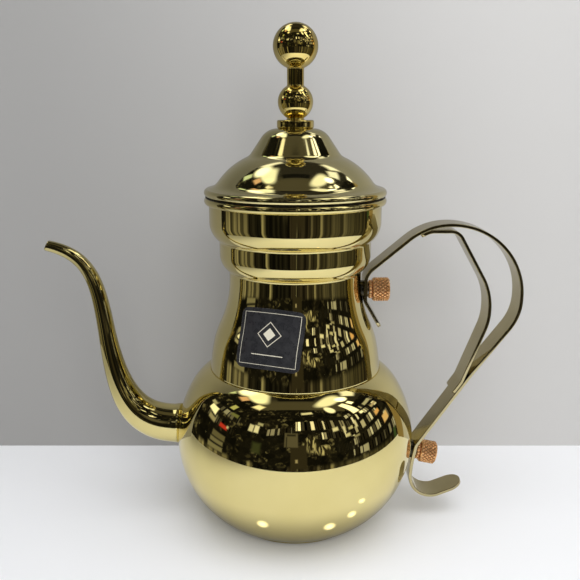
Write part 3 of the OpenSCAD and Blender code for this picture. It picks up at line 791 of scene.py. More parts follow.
    def build(self, shop: Workshop) -> None:
        """Builds the four pieces.

        Args:
            shop: fits the pieces.
        """
        edge = self.base_t / 2
        disc = [(AXIS, self.base_dish_h), (self.base_dish_r, self.base_dish_h), (self.base_dish_r + 0.6, 0.0)]
        for groove in self.base_grooves:
            disc += [(groove - 0.5, 0.0), (groove, self.base_groove_h), (groove + 0.5, 0.0)]
        disc += arc_points((self.base_r - edge, edge), edge, -90.0, 0.0, 0.1)
        disc += [(self.base_r, self.base_t - 0.05), (self.base_r - 0.05, self.base_t), (AXIS, self.base_t)]
        shop.fit(turned("base_plate", disc, closed=False), shop.sheet_gold, Slot.GOLD, Body.POT, "base_disc")
        self.build_belly(shop)
        neck_out = soft_join(self.neck_strands(), self.neck_softness)
        neck_in = soft_join(self.neck_strands(self.wall), self.neck_softness)
        inner_crease = self.belly_strands(self.wall)[-1][-1]
        neck = turned("neck", neck_out + neck_in[::-1] + [inner_crease])
        shop.fit(neck, shop.sheet_gold, Slot.GOLD, Body.POT, "neck_shell")
        centre = self.collar_top_r + self.bead_stand_out
        span = math.degrees(math.acos(-self.bead_stand_out / self.bead_r))
        bead = arc_points((centre, self.bead_z), self.bead_r, -span, span, 0.25)
        shop.fit(turned("mouth_roll", bead), shop.sheet_gold, Slot.GOLD, Body.POT, "mouth_bead")

    def build_belly(self, shop: Workshop) -> None:
        """Builds the belly and pierces its strainer behind the spout.

        Args:
            shop: fits the piece.
        """
        outer = soft_join(self.belly_strands(), [0.0, 0.0])
        inner = soft_join(self.belly_strands(self.wall), [0.0, 0.0])
        belly = turned("belly", outer + inner[::-1], segments=self.belly_sides)
        drill = bmesh.new()
        hole_r = self.strainer_hole_d / 2 * MM
        row_h = self.strainer_pitch * math.sin(math.radians(60))
        for row in range(-self.strainer_rings, self.strainer_rings + 1):
            for i in range(2 * self.strainer_rings - abs(row) + 1):
                y = (i - self.strainer_rings + abs(row) / 2) * self.strainer_pitch
                place = Matrix.Translation(Vector((-self.belly_r, y, self.strainer_z + row * row_h)) * MM)
                bmesh.ops.create_cone(
                    drill, cap_ends=True, segments=self.drill_sides, radius1=hole_r, radius2=hole_r,
                    depth=self.drill_l * MM, matrix=place @ Matrix.Rotation(math.pi / 2, 4, "Y"),
                )
        mesh = bpy.data.meshes.new("strainer_drill")
        drill.to_mesh(mesh)
        drill.free()
        cutter = bpy.data.objects.new("strainer_drill", mesh)
        bpy.context.scene.collection.objects.link(cutter)
        cut = belly.modifiers.new("strainer", "BOOLEAN")
        cut.object, cut.operation, cut.solver = cutter, "DIFFERENCE", "EXACT"
        pierced = bpy.data.meshes.new_from_object(belly.evaluated_get(bpy.context.evaluated_depsgraph_get()))
        belly.modifiers.clear()
        belly.data = pierced
        bpy.data.objects.remove(cutter)
        shop.fit(belly, shop.sheet_gold, Slot.GOLD, Body.POT, "belly_shell")


Station = tuple[float, float, float, float]


@dataclass
class Spout:
    """The swan-necked spout: two Bezier spans of (out, up, diameter) from the belly to the tip."""

    root_z: float = 54.7
    root_d: float = 21.8
    mid_d: float = 9.6
    tip_d: float = 6.0
    wall: float = 0.8
    reach: float = 68.4
    tip_z: float = 158.4
    mid_out: float = 38.7
    mid_z: float = 110.0
    mid_lean: float = 7.0
    tip_lift: float = 12.6
    tip_cut: float = 13.0
    handles: tuple[float, float, float, float] = (26.0, 38.0, 28.0, 24.0)
    shape_d: tuple[float, float, float] = (13.0, 8.2, 7.4)
    weld_reach: float = 2.2
    weld_swell: float = 0.4
    weld_end: float = 8.0
    cut_from: float = 0.8
    lip_steps: int = 6
    sides: int = 64
    span_rings: int = 84

    def spans(self, pot: PotBody) -> list[np.ndarray]:
        """The control points of the two spans.

        Args:
            pot: the pot.

        Returns:
            Four rows of (out, up, diameter) for each span.
        """
        root_x = pot.belly_radius(self.root_z)
        mid_x, tip_x = pot.belly_r + self.mid_out, pot.belly_r + self.reach
        lean, lift = math.radians(self.mid_lean), math.radians(self.tip_lift)
        mid_way = np.array([math.sin(lean), math.cos(lean)])
        tip_way = np.array([math.cos(lift), math.sin(lift)])
        mid, tip = np.array([mid_x, self.mid_z]), np.array([tip_x, self.tip_z])
        low, high, top, last = self.handles
        return [
            np.array([
                [root_x, self.root_z, self.root_d], [root_x + low, self.root_z, self.root_d],
                [*(mid - high * mid_way), self.shape_d[0]], [*mid, self.mid_d],
            ]),
            np.array([
                [*mid, self.mid_d], [*(mid + top * mid_way), self.shape_d[1]],
                [*(tip - last * tip_way), self.shape_d[2]], [*tip, self.tip_d],
            ]),
        ]

    def stations(self, pot: PotBody) -> list[Station]:
        """Places along the spout as (out, up, diameter, angle of the way).

        Args:
            pot: the pot.

        Returns:
            The places, from root to tip.
        """
        made = []
        for number, span in enumerate(self.spans(pot)):
            for i in range(0 if number == 0 else 1, self.span_rings + 1):
                t = i / self.span_rings
                u = 1 - t
                point = u**3 * span[0] + 3 * u**2 * t * span[1] + 3 * u * t * t * span[2] + t**3 * span[3]
                legs = np.diff(span, axis=0)
                way = u**2 * legs[0] + 2 * u * t * legs[1] + t * t * legs[2]
                near_tip = max(0.0, t - self.cut_from) / (1 - self.cut_from)
                lean = math.radians(self.tip_cut) * near_tip if number else 0.0
                made.append((point[0], point[1], point[2], math.atan2(way[1], way[0]) + lean))
        return made

    def ring(
        self, pot: PotBody, station: Station, inset: float, on_belly: bool, shift: float = 0.0
    ) -> np.ndarray:
        """One ring of points around a station.

        Args:
            pot: the pot.
            station: (out, up, diameter, angle of the way).
            inset: how far inside the outer skin the ring lies.
            on_belly: True puts the ring's points on the belly's own surface.
            shift: how far the ring is moved on along the way.

        Returns:
            The points.
        """
        out, up, diameter, angle = station
        turn = np.linspace(0, 2 * math.pi, self.sides, endpoint=False)
        radius = diameter / 2 - inset
        side, lift = radius * np.sin(turn), radius * np.cos(turn)
        z = up + lift * math.cos(angle) + shift * math.sin(angle)
        x = out - lift * math.sin(angle) + shift * math.cos(angle)
        if on_belly:
            x = np.array([math.sqrt(pot.belly_radius(h) ** 2 - s * s) for h, s in zip(z, side)])
        return np.stack([-x, side, z], 1)

    def build(self, pot: PotBody, shop: Workshop) -> None:
        """Builds the spout as one closed tube with a weld at its root and a rounded lip.

        Args:
            pot: the pot.
            shop: fits the piece.
        """
        places = self.stations(pot)
        run = 0.0
        outer, inner = [], []
        for k, place in enumerate(places):
            if k:
                run += math.dist(places[k - 1][:2], place[:2])
            fade = math.exp(-((run / self.weld_reach) ** 2)) if run < self.weld_end else 0.0
            swell = self.weld_swell * fade
            wide = (place[0], place[1], place[2] + 2 * swell, place[3])
            outer.append(self.ring(pot, wide, 0.0, k == 0))
            inner.append(self.ring(pot, place, self.wall, k == 0))
        lip = []
        for i in range(1, self.lip_steps):
            turn = math.pi * i / self.lip_steps
            inset = self.wall / 2 * (1 - math.cos(turn))
            lip.append(self.ring(pot, places[-1], inset, False, self.wall / 2 * math.sin(turn)))
        rings = outer + lip + inner[::-1]
        spout = make_object("spout_tube", np.concatenate(rings), grid_faces(len(rings), self.sides, True))
        shop.fit(spout, shop.sheet_gold, Slot.GOLD, Body.POT, "spout")


@dataclass
class Label:
    """A small film stuck to the neck, with rounded corners."""

    width: float = 35.0
    height: float = 31.0
    corner_r: float = 4.0
    thickness: float = 0.16
    middle_z: float = 117.0
    azimuth: float = 19.5
    roll: float = 1.0
    rows: int = 48
    columns: int = 52
    search: Point = (-12.0, 6.0)
    search_steps: int = 30

    def build(self, pot: PotBody, shop: Workshop) -> None:
        """Builds the film as a closed skin that follows the neck, with a UV map across it.

        Args:
            pot: the pot.
            shop: fits the piece.
        """
        heading = math.radians(-90 - self.azimuth)
        quarter = self.height / 4
        low_r, high_r = (pot.neck_radius(self.middle_z + up) for up in (-quarter, quarter))
        tilt = math.atan((low_r - high_r) / (2 * quarter))
        out = np.array([math.cos(heading), math.sin(heading), 0.0])
        side = np.array([-math.sin(heading), math.cos(heading), 0.0])
        normal = out * math.cos(tilt) + np.array([0, 0, math.sin(tilt)])
        up = np.cross(normal, side)
        roll = math.radians(self.roll)
        across = side * math.cos(roll) - up * math.sin(roll)
        above = side * math.sin(roll) + up * math.cos(roll)
        centre = out * pot.neck_radius(self.middle_z) + np.array([0, 0, self.middle_z])

        def on_neck(a: float, b: float, lift: float) -> np.ndarray:
            """The point of the neck under a place on the label, lifted off it.

            Args:
                a: way across the label.
                b: way up it.
                lift: how far off the neck.

            Returns:
                The point.
            """
            start = centre + a * across + b * above
            low, high = self.search
            for _ in range(self.search_steps):
                middle = (low + high) / 2
                point = start + middle * normal
                if math.hypot(point[0], point[1]) < pot.neck_radius(point[2]) + lift:
                    low = middle
                else:
                    high = middle
            return start + low * normal

        verts, uvs = [], []
        for lift in (self.thickness, 0.0):
            for i in range(self.rows + 1):
                b = -self.height / 2 * math.cos(math.pi * i / self.rows)
                past = abs(b) - (self.height / 2 - self.corner_r)
                half = self.width / 2
                if past > 0:
                    half += math.sqrt(max(0.0, self.corner_r**2 - past**2)) - self.corner_r
                for j in range(self.columns + 1):
                    a = half * (2 * j / self.columns - 1)
                    verts.append(on_neck(a, b, lift))
                    uvs.append((a / self.width + 0.5, b / self.height + 0.5))
        wide, layer = self.columns + 1, (self.rows + 1) * (self.columns + 1)
        faces = []
        for i in range(self.rows):
            for j in range(self.columns):
                q = (i * wide + j, i * wide + j + 1, (i + 1) * wide + j + 1, (i + 1) * wide + j)
                faces += [q, tuple(layer + n for n in q[::-1])]
        rim = list(range(wide)) + [i * wide + self.columns for i in range(1, self.rows + 1)]
        rim += [self.rows * wide + j for j in range(self.columns - 1, -1, -1)]
        rim += [i * wide for i in range(self.rows - 1, 0, -1)]
        faces += [(a, layer + a, layer + b, b) for a, b in zip(rim, rim[1:] + rim[:1])]
        film = make_object("neck_label", np.array(verts), faces)
        layer_uv = film.data.uv_layers.new(name="print")
        for loop in film.data.loops:
            layer_uv.data[loop.index].uv = uvs[loop.vertex_index]
        shop.fit(film, shop.film, Slot.LABEL, Body.POT, "label")


# ---------------- handle


Corner = tuple[float, float, float]


def end_loss(distance: float, radius: float) -> float:
    """What a rounded end takes off a half width.

    Args:
        distance: how far the place is from the end.
        radius: the rounding's radius.

    Returns:
        The loss.
    """
    if distance >= radius:
        return 0.0
    return radius - math.sqrt(max(0.0, radius**2 - (radius - distance) ** 2))


@dataclass
class Strap:
    """A flat bent strap that follows corners of (out, up, bend radius), its ends rounded in plan."""

    name: str
    node: str
    corners: tuple[Corner, ...]
    start_r: float
    end_r: float
    width: float = 16.0
    thickness: float = 1.8
    edge_r: float = 0.35
    straight_step: float = 2.0
    bend_step: float = 2.0
    end_steps: int = 14
    edge_steps: int = 4
    corner_steps: int = 6
    guard: float = 0.25
    least_half_w: float = 0.2
    least_half_t: float = 0.1

    def route(self) -> list[tuple[np.ndarray, float]]:
        """The centre line as (place, angle of the way), closely spaced at both ends.

        Returns:
            The places in order.
        """
        points = [np.array(corner[:2]) for corner in self.corners]
        made: list[tuple[np.ndarray, float]] = []
        here = points[0]
        for i in range(1, len(points)):
            way = points[i] - points[i - 1]
            angle = math.atan2(way[1], way[0])
            unit = way / np.linalg.norm(way)
            target, turn = points[i], 0.0
            if i < len(points) - 1:
                after = points[i + 1] - points[i]
                turn = math.atan2(unit[0] * after[1] - unit[1] * after[0], float(unit @ after))
                target = points[i] - unit * self.corners[i][2] * math.tan(abs(turn) / 2)
            length = np.linalg.norm(target - here)
            stops = self.stops(length, i == 1, i == len(points) - 1)
            made += [(here + unit * d, angle) for d in stops]
            if turn:
                radius = self.corners[i][2]
                hand = math.copysign(1.0, turn)
                centre = target + hand * radius * np.array([-unit[1], unit[0]])
                count = max(2, math.ceil(abs(math.degrees(turn)) / self.bend_step))
                for k in range(count + 1):
                    a = angle + turn * k / count
                    made.append((centre - hand * radius * np.array([-math.sin(a), math.cos(a)]), a))
                here = made[-1][0]
                made.pop()
        return made

    def stops(self, length: float, first: bool, last: bool) -> list[float]:
        """Distances along one straight run, close together where the strap's end is rounded.

        Args:
            length: the run's length.
            first: True for the first run.
            last: True for the last run.

        Returns:
            The distances in order.
        """
        count = max(2, math.ceil(length / self.straight_step) + 1)
        stops = set(np.linspace(0, length, count).tolist())
        for on, radius, from_end in ((first, self.start_r, False), (last, self.end_r, True)):
            if on:
                near = set()
                for reach, steps in ((radius, self.end_steps), (self.edge_r, self.edge_steps)):
                    near |= {reach * (1 - math.cos(math.pi / 2 * k / steps)) for k in range(steps + 1)}
                stops |= {length - d if from_end else d for d in near if d < length}
        kept: list[float] = []
        for stop in sorted(stops):
            if not kept or stop - kept[-1] > 1e-3:
                kept.append(stop)
        return kept if last else kept[:-1]

    def section(self, half_w: float, half_t: float) -> list[Point]:
        """The strap's rounded cross-section as (across, off the centre line).

        Args:
            half_w: half the width.
            half_t: half the thickness.

        Returns:
            The points around it.
        """
        r = min(self.edge_r, half_t, half_w)
        made: list[Point] = []
        for quarter in range(4):
            cy = (half_w - r) * (1 if quarter in (0, 3) else -1)
            cn = (half_t - r) * (1 if quarter < 2 else -1)
            turns = (math.pi / 2 * (quarter + k / self.corner_steps) for k in range(self.corner_steps + 1))
            arc = [(cy + r * math.cos(a), cn + r * math.sin(a)) for a in turns]
            guard = self.guard * min(1.0, half_w / 2)
            flat = (-guard if quarter in (0, 3) else guard, 0.0)
            if quarter in (0, 2):
                made += arc + [(arc[-1][0] + flat[0], arc[-1][1])]
            else:
                made += [(arc[0][0] + flat[0], arc[0][1])] + arc
        return made

    def build(self, shop: Workshop) -> None:
        """Sweeps the cross-section along the route and closes both ends.

        Args:
            shop: fits the piece.
        """
        route = self.route()
        lengths = [0.0]
        for (p, _), (q, _) in zip(route, route[1:]):
            lengths.append(lengths[-1] + float(np.linalg.norm(q - p)))
        total = lengths[-1]
        rings = []
        for (place, angle), run in zip(route, lengths):
            half_w, half_t = self.width / 2, self.thickness / 2
            for distance, radius in ((run, self.start_r), (total - run, self.end_r)):
                half_w -= end_loss(distance, radius)
                half_t -= end_loss(distance, self.edge_r)
            section = self.section(max(half_w, self.least_half_w), max(half_t, self.least_half_t))
            left = np.array([-math.sin(angle), math.cos(angle)])
            rings.append([(place[0] + n * left[0], y, place[1] + n * left[1]) for y, n in section])
        sides = len(rings[0])
        faces = grid_faces(len(rings), sides, False)
        last = (len(rings) - 1) * sides
        faces += [tuple(range(sides)), tuple(range(last, last + sides))]
        strap = make_object(self.name, np.concatenate([np.array(ring) for ring in rings]), faces)
        shop.fit(strap, shop.strap_gold, Slot.GOLD, Body.POT, self.node)


@dataclass
class Fastening:
    """Stud, beaded collar and knurled thumb nut on one stud axis."""

    place: str
    seat: Point
    angle: float
    pad_h: float
    collar_body: Body
    nut_body: Body
    strap_t: float = 1.8
    washer_t: float = 1.2
    stud_sides: int = 72
    nut_sides: int = 408
    ring_sides: int = 240
    stud_d: float = 5.0
    stud_grip: float = 6.5
    bore_gap: float = 0.06
    thread_pitch: float = 0.8
    thread_depth: float = 0.28
    thread_play: float = 0.02
    collar_d: float = 10.4
    collar_t: float = 2.1
    bead_count: int = 12
    bead_fill: float = 0.94
    bead_root: float = 0.25
    bead_fullness: float = 0.7
    bead_rows: int = 12
    rim_w: float = 0.6
    nut_d: float = 13.0
    nut_l: float = 9.4
    nut_chamfer: float = 0.8
    nut_gap: float = 0.02
    nut_past_stud: float = 0.6
    nut_dish: float = 0.3
    nut_dish_r: float = 4.3
    nut_face: float = 0.3
    knurl_rows: int = 76
    knurl_fade: float = 0.25
    knurl_count: int = 20
    knurl_depth: float = 0.6
    knurl_share: float = 0.45
    knurl_lean: float = 38.0

    def nut_foot(self) -> float:
        """How far off the skin the nut's seat on its collar lies."""
        return self.pad_h + self.strap_t + self.washer_t + self.collar_t

    def frame_matrix(self, out: float) -> Matrix:
        """Turns a piece's +Z onto the stud's axis, starting some distance off the pot's skin.

        Args:
            out: distance off the pot's skin.

        Returns:
            The move.
        """
        lean = math.radians(self.angle)
        way = Vector((math.cos(lean), 0.0, -math.sin(lean)))
        start = Vector((self.seat[0], 0.0, self.seat[1])) + way * out
        return Matrix.Translation(start * MM) @ Matrix.Rotation(math.radians(90 + self.angle), 4, "Y")

    def put(self, piece: bpy.types.Object, out: float) -> bpy.types.Object:
        """Moves a piece's mesh onto the stud's axis."""
        piece.data.transform(self.frame_matrix(out))
        return piece

    def build_stud(self, shop: Workshop) -> None:
        """Builds the stud with its thread cut from the strap outwards.

        Args:
            shop: fits the piece.
        """
        r, top = self.stud_d / 2, self.nut_foot() + self.stud_grip
        thread_from = self.pad_h + self.strap_t
        turns = np.arange(thread_from, top - 0.5, self.thread_pitch / 8)
        outline = [(AXIS, -0.4), (r, -0.4), (r, thread_from - 0.1)] + [(r, z) for z in turns]
        outline += [(r, top - 0.4), (r - 0.4, top), (AXIS, top)]
        thread = Thread(r, thread_from, top - 0.45, self.thread_pitch, self.thread_depth, self.thread_play)
        stud = turned(f"{self.place}_threaded_stud", outline, self.stud_sides, False, thread.radii)
        self.put(stud, 0.0)
        shop.fit(stud, shop.dark_steel, Slot.DARK_STEEL, Body.POT, f"{self.place}_stud")

    def build_collar(self, shop: Workshop) -> None:
        """Builds the ring of small round beads under the nut.

        Args:
            shop: fits the piece.
        """
        bead_r = self.collar_d / 2 * math.sin(math.pi / self.bead_count) * self.bead_fill
        core_r = self.collar_d / 2 - bead_r
        half = self.collar_t / 2
        heights = [half * (1 - math.cos(math.pi * k / self.bead_rows)) for k in range(self.bead_rows + 1)]
        bore = self.stud_d / 2 + self.bore_gap
        rim_r = core_r - self.rim_w
        outline = [(bore, self.collar_t), (bore, 0.0), (rim_r, 0.0)]
        outline += [(core_r, z) for z in heights] + [(rim_r, self.collar_t)]

        def beads(angles: np.ndarray, radius: float, z: float) -> np.ndarray:
            """Radii of the bead ring at one height.

            Args:
                angles: where around the ring.
                radius: the outline's radius.
                z: the height.

            Returns:
                The radii.
            """
            if radius < core_r - HAIR:
                return np.full(len(angles), radius)
            swell = math.sqrt(max(0.0, 1 - (z / half - 1) ** 2))
            step = 2 * math.pi / self.bead_count
            off = ((angles + step / 2) % step - step / 2) * core_r
            round_off = np.sqrt(np.clip(1 - (off / bead_r) ** 2, 0, 1))
            root = self.bead_root
            return core_r - root + (bead_r + root) * swell**self.bead_fullness * round_off

        out = self.pad_h + self.strap_t + self.washer_t
        ring = self.put(turned(f"{self.place}_beaded_ring", outline, self.ring_sides, True, beads), out)
        shop.fit(ring, shop.copper, Slot.COPPER, self.collar_body, f"{self.place}_bead_collar")

    def build_nut(self, shop: Workshop) -> None:
        """Builds the thumb nut: diamond knurling between two chamfers and a dished end.

        Args:
            shop: fits the piece.
        """
        r, bore = self.nut_d / 2, self.stud_d / 2 + self.bore_gap
        deep = self.stud_grip + self.nut_past_stud
        edge, top = self.nut_chamfer, self.nut_l
        face_r, dish_z = r - edge - self.nut_face, top - self.nut_dish
        outline = [(AXIS, deep), (bore, deep), (bore, 0.5), (bore + 0.5, 0.0)]
        outline += [(face_r, 0.0), (r - edge, 0.05)]
        outline += [(r, z) for z in np.linspace(edge, top - edge, self.knurl_rows)]
        outline += [(r - edge, top - 0.05), (face_r, top), (self.nut_dish_r, top)]
        outline += [(self.nut_dish_r - self.nut_dish, dish_z), (AXIS, dish_z)]
        pitch = math.tau / self.knurl_count
        lean = math.tan(math.radians(self.knurl_lean)) / r

        def diamonds(angles: np.ndarray, radius: float, z: float) -> np.ndarray:
            """Radii of the knurled wall at one height.

            Args:
                angles: where around the nut.
                radius: the outline's radius.
                z: the height.

            Returns:
                The radii.
            """
            if radius < r - HAIR:
                return np.full(len(angles), radius)
            depth = np.zeros(len(angles))
            for hand in (1, -1):
                phase = ((angles + hand * lean * z) / pitch) % 1.0
                depth = np.maximum(depth, np.clip(1 - np.abs(2 * phase - 1) / self.knurl_share, 0, 1))
            fade = min(1.0, (z - edge) / self.knurl_fade, (top - edge - z) / self.knurl_fade)
            return radius - self.knurl_depth * depth * max(fade, 0.0)

        out = self.nut_foot() + self.nut_gap
        nut = turned(f"{self.place}_knurled_nut", outline, self.nut_sides, False, diamonds)
        # cut_depth feeds the painted shade in the knurl's grooves
        depths = nut.data.attributes.new("cut_depth", "FLOAT", "POINT")
        for vertex, store in zip(nut.data.vertices, depths.data):
            x, y, z = (c / MM for c in vertex.co)
            below = r - math.hypot(x, y)
            wall = edge + 0.1 < z < top - edge - 0.1 and below < self.knurl_depth + 0.05
            store.value = below / self.knurl_depth if wall else 0.0
        self.put(nut, out)
        shop.fit(nut, shop.copper, Slot.COPPER, self.nut_body, f"{self.place}_thumb_nut")

    def build(self, shop: Workshop) -> None:
        """Builds the three turned pieces and dresses the pad and washer.

        Args:
            shop: fits the pieces.
        """
        self.build_stud(shop)
        self.build_collar(shop)
        self.build_nut(shop)
        for node in (f"{self.place}_pad", f"{self.place}_washer"):
            shop.dress_node(node, shop.dark_steel)


def way_at(angle: float) -> complex:
    """The unit way at an angle in degrees, as out + up * i."""
    return complex(math.cos(math.radians(angle)), math.sin(math.radians(angle)))


def bend_run(radius: float, turn: float) -> float:
    """Length that a bend takes from the runs before and after it."""
    return radius * math.tan(math.radians(turn / 2))


def meeting(start: complex, way: complex, other: complex, other_way: complex) -> complex:
    """Where a line meets another line."""
    return start + way * ((other - start).conjugate() * other_way).imag / (way.conjugate() * other_way).imag


@dataclass
class HandleRoute:
    """Lays out both straps' corners from the two studs, in complex numbers: out + up * i."""

    strap_t: float = 1.8
    crown_z: float = 170.6
    strap_out: float = 123.2
    slope_bend_r: float = 35.0
    slope_angle: float = 40.0
    slope_start_bend_r: float = 10.0
    elbow_z: float = 120.4
    elbow_bend_r: float = 28.0
    tail_l: float = 17.0
    tail_angle: float = 30.0
    tail_bend_r: float = 2.4
    clamp_bend_r: float = 4.0
    diagonal_bend_r: float = 110.0
    diagonal_sag: float = 1.0
    diagonal_share: float = 0.56
    hook_z: float = 12.8
    hook_set_in: float = 1.6
    hook_neck_bend_r: float = 30.0
    hook_bend_r: float = 12.0
    hook_l: float = 0.4
    hook_tip_bend_r: float = 10.0
    hook_tip_l: float = 17.5
    hook_rise: float = 22.0
    crown_gap: float = 1.7
    inner_in: float = 17.0
    inner_fall: float = 60.4
    inner_return: float = 69.5
    inner_crown_l: float = 14.8
    inner_crown_bend_r: float = 7.0
    inner_side_bend_r: float = 36.0
    inner_return_bend_r: float = 32.0
    inner_foot_bend_r: float = 9.0
    inner_lap_l: float = 8.0
    lap_angle: float = 24.0
    lap_turn: float = 4.0
    lap_tail: float = 0.3
    solder_gap: float = 0.03
    washer_r: float = 4.2
    flat_margin: float = 0.6
    least_run: float = 0.4

    def outer(self, upper: "Fastening", lower: "Fastening") -> tuple[Corner, ...]:
        """Corners of the outer strap, and the places that the inner strap starts from.

        Args:
            upper: the fastening on the neck.
            lower: the fastening on the belly.

        Returns:
            The corners from the tail below the upper stud to the hook's tip.
        """
        half = self.washer_r + self.flat_margin
        mid = complex(*upper.seat) + upper.pad_h + self.strap_t / 2
        slope_foot = mid + 1j * (half + bend_run(self.slope_start_bend_r, 90 - self.slope_angle))
        self.crown_start = meeting(slope_foot, way_at(self.slope_angle), 1j * self.crown_z, 1)
        tail_start = mid - 1j * (half + bend_run(self.tail_bend_r, self.tail_angle))
        tail_end = tail_start + self.tail_l * way_at(self.tail_angle - 90)
        lower_mid = complex(*lower.seat) + (lower.pad_h + self.strap_t / 2) * way_at(-lower.angle)
        clamp_way = way_at(90 - lower.angle)
        self.clamp_top = lower_mid + (half + self.flat_margin) * clamp_way
        clamp_foot = lower_mid - (half + 2 * self.flat_margin) * clamp_way
        elbow = complex(self.strap_out, self.elbow_z)
        long_way = (elbow - self.clamp_top) / abs(elbow - self.clamp_top)
        share = self.diagonal_share
        self.diagonal_mid = self.clamp_top + share * (elbow - self.clamp_top)
        self.diagonal_mid += 1j * self.diagonal_sag * long_way
        rest = elbow - self.diagonal_mid
        elbow_turn = math.degrees(math.acos(rest.imag / abs(rest)))
        crown_bend_r = min(
            self.strap_out - self.crown_start.real - bend_run(self.slope_bend_r, self.slope_angle),
            self.crown_z - self.elbow_z - bend_run(self.elbow_bend_r, elbow_turn),
        ) - self.least_run
        hook_corner = complex(clamp_foot.real - self.hook_set_in, self.hook_z)
        hook_lean = math.degrees(math.atan2(self.hook_set_in, clamp_foot.imag - self.hook_z))
        run = bend_run(self.hook_bend_r, 90 + hook_lean) + self.hook_l
        hook_turn = hook_corner + run + bend_run(self.hook_tip_bend_r, self.hook_rise)
        hook_tip = hook_turn + self.hook_tip_l * way_at(self.hook_rise)
        stops = (
            (tail_end, 0.0), (tail_start, self.tail_bend_r), (slope_foot, self.slope_start_bend_r),
            (self.crown_start, self.slope_bend_r), (complex(self.strap_out, self.crown_z), crown_bend_r),
            (elbow, self.elbow_bend_r), (self.diagonal_mid, self.diagonal_bend_r),
            (self.clamp_top, self.clamp_bend_r), (clamp_foot, self.hook_neck_bend_r),
            (hook_corner, self.hook_bend_r), (hook_turn, self.hook_tip_bend_r), (hook_tip, 0.0),
        )
        return tuple((place.real, place.imag, radius) for place, radius in stops)

    def inner(self) -> tuple[Corner, ...]:
        """Corners of the inner strap, from its top lap to its foot. The outer strap's come first.

        Returns:
            The corners.
        """
        slope_run = bend_run(self.slope_bend_r, self.slope_angle)
        bend_centre = self.crown_start + complex(slope_run, -self.slope_bend_r)
        lap_r = self.slope_bend_r - self.strap_t - self.solder_gap
        lap_way = way_at(self.lap_angle)
        lap_point = bend_centre + lap_r * 1j * lap_way
        lap_corner = lap_point - bend_run(lap_r, self.lap_turn) * lap_way
        lap_back = bend_run(lap_r, self.lap_turn) + self.lap_tail
        start = lap_corner - lap_back * way_at(self.lap_angle + self.lap_turn)
        rise_end = meeting(lap_point, lap_way, 1j * (self.crown_z - self.strap_t - self.crown_gap), 1)
        turn = rise_end + self.inner_crown_l
        side_top = meeting(turn, way_at(-self.inner_fall), self.strap_out - self.inner_in, 1j)
        drop = bend_run(self.inner_side_bend_r, 90 - self.inner_fall)
        drop += bend_run(self.inner_return_bend_r, 90 - self.inner_return) + 1
        side_foot = side_top - 1j * drop
        back_way = (self.clamp_top - self.diagonal_mid) / abs(self.clamp_top - self.diagonal_mid)
        face = self.diagonal_mid - (self.strap_t + self.solder_gap) * 1j * back_way
        foot = meeting(side_foot, -way_at(self.inner_return), face, back_way)
        stops = (
            (start, 0.0), (lap_corner, lap_r), (rise_end, self.inner_foot_bend_r),
            (turn, self.inner_crown_bend_r), (side_top, self.inner_side_bend_r),
            (side_foot, self.inner_return_bend_r),
            (foot, self.inner_foot_bend_r), (foot + self.inner_lap_l * back_way, 0.0),
        )
        return tuple((place.real, place.imag, radius) for place, radius in stops)


@dataclass
class Handle:
    """Two straps and the fastenings that hold the outer one to the pot."""

    route: HandleRoute = field(default_factory=HandleRoute)
    upper_stud_z: float = 134.0
    lower_stud_angle: float = 11.0
    upper_pad_h: float = 0.9
    lower_pad_h: float = 1.5

    def build(self, pot: PotBody, shop: Workshop) -> None:
        """Builds every piece of the handle.

        Args:
            pot: the pot.
            shop: fits the pieces.
        """
        upper_seat = (pot.neck_radius(self.upper_stud_z), self.upper_stud_z)
        lower_seat = complex(*pot.low_centre) + pot.low_radius * way_at(-self.lower_stud_angle)
        upper = Fastening("upper", upper_seat, 0.0, self.upper_pad_h, Body.UPPER_COLLAR, Body.UPPER_NUT)
        lower = Fastening(
            "lower", (lower_seat.real, lower_seat.imag), self.lower_stud_angle, self.lower_pad_h,
            Body.LOWER_COLLAR, Body.LOWER_NUT,
        )
        outer = Strap("outer_handle_strap", "outer_strap", self.route.outer(upper, lower), 3.5, 7.8)
        outer.build(shop)
        Strap("inner_handle_strap", "inner_strap", self.route.inner(), 1.5, 1.5).build(shop)
        upper.build(shop)
        lower.build(shop)


# ---------------- lid


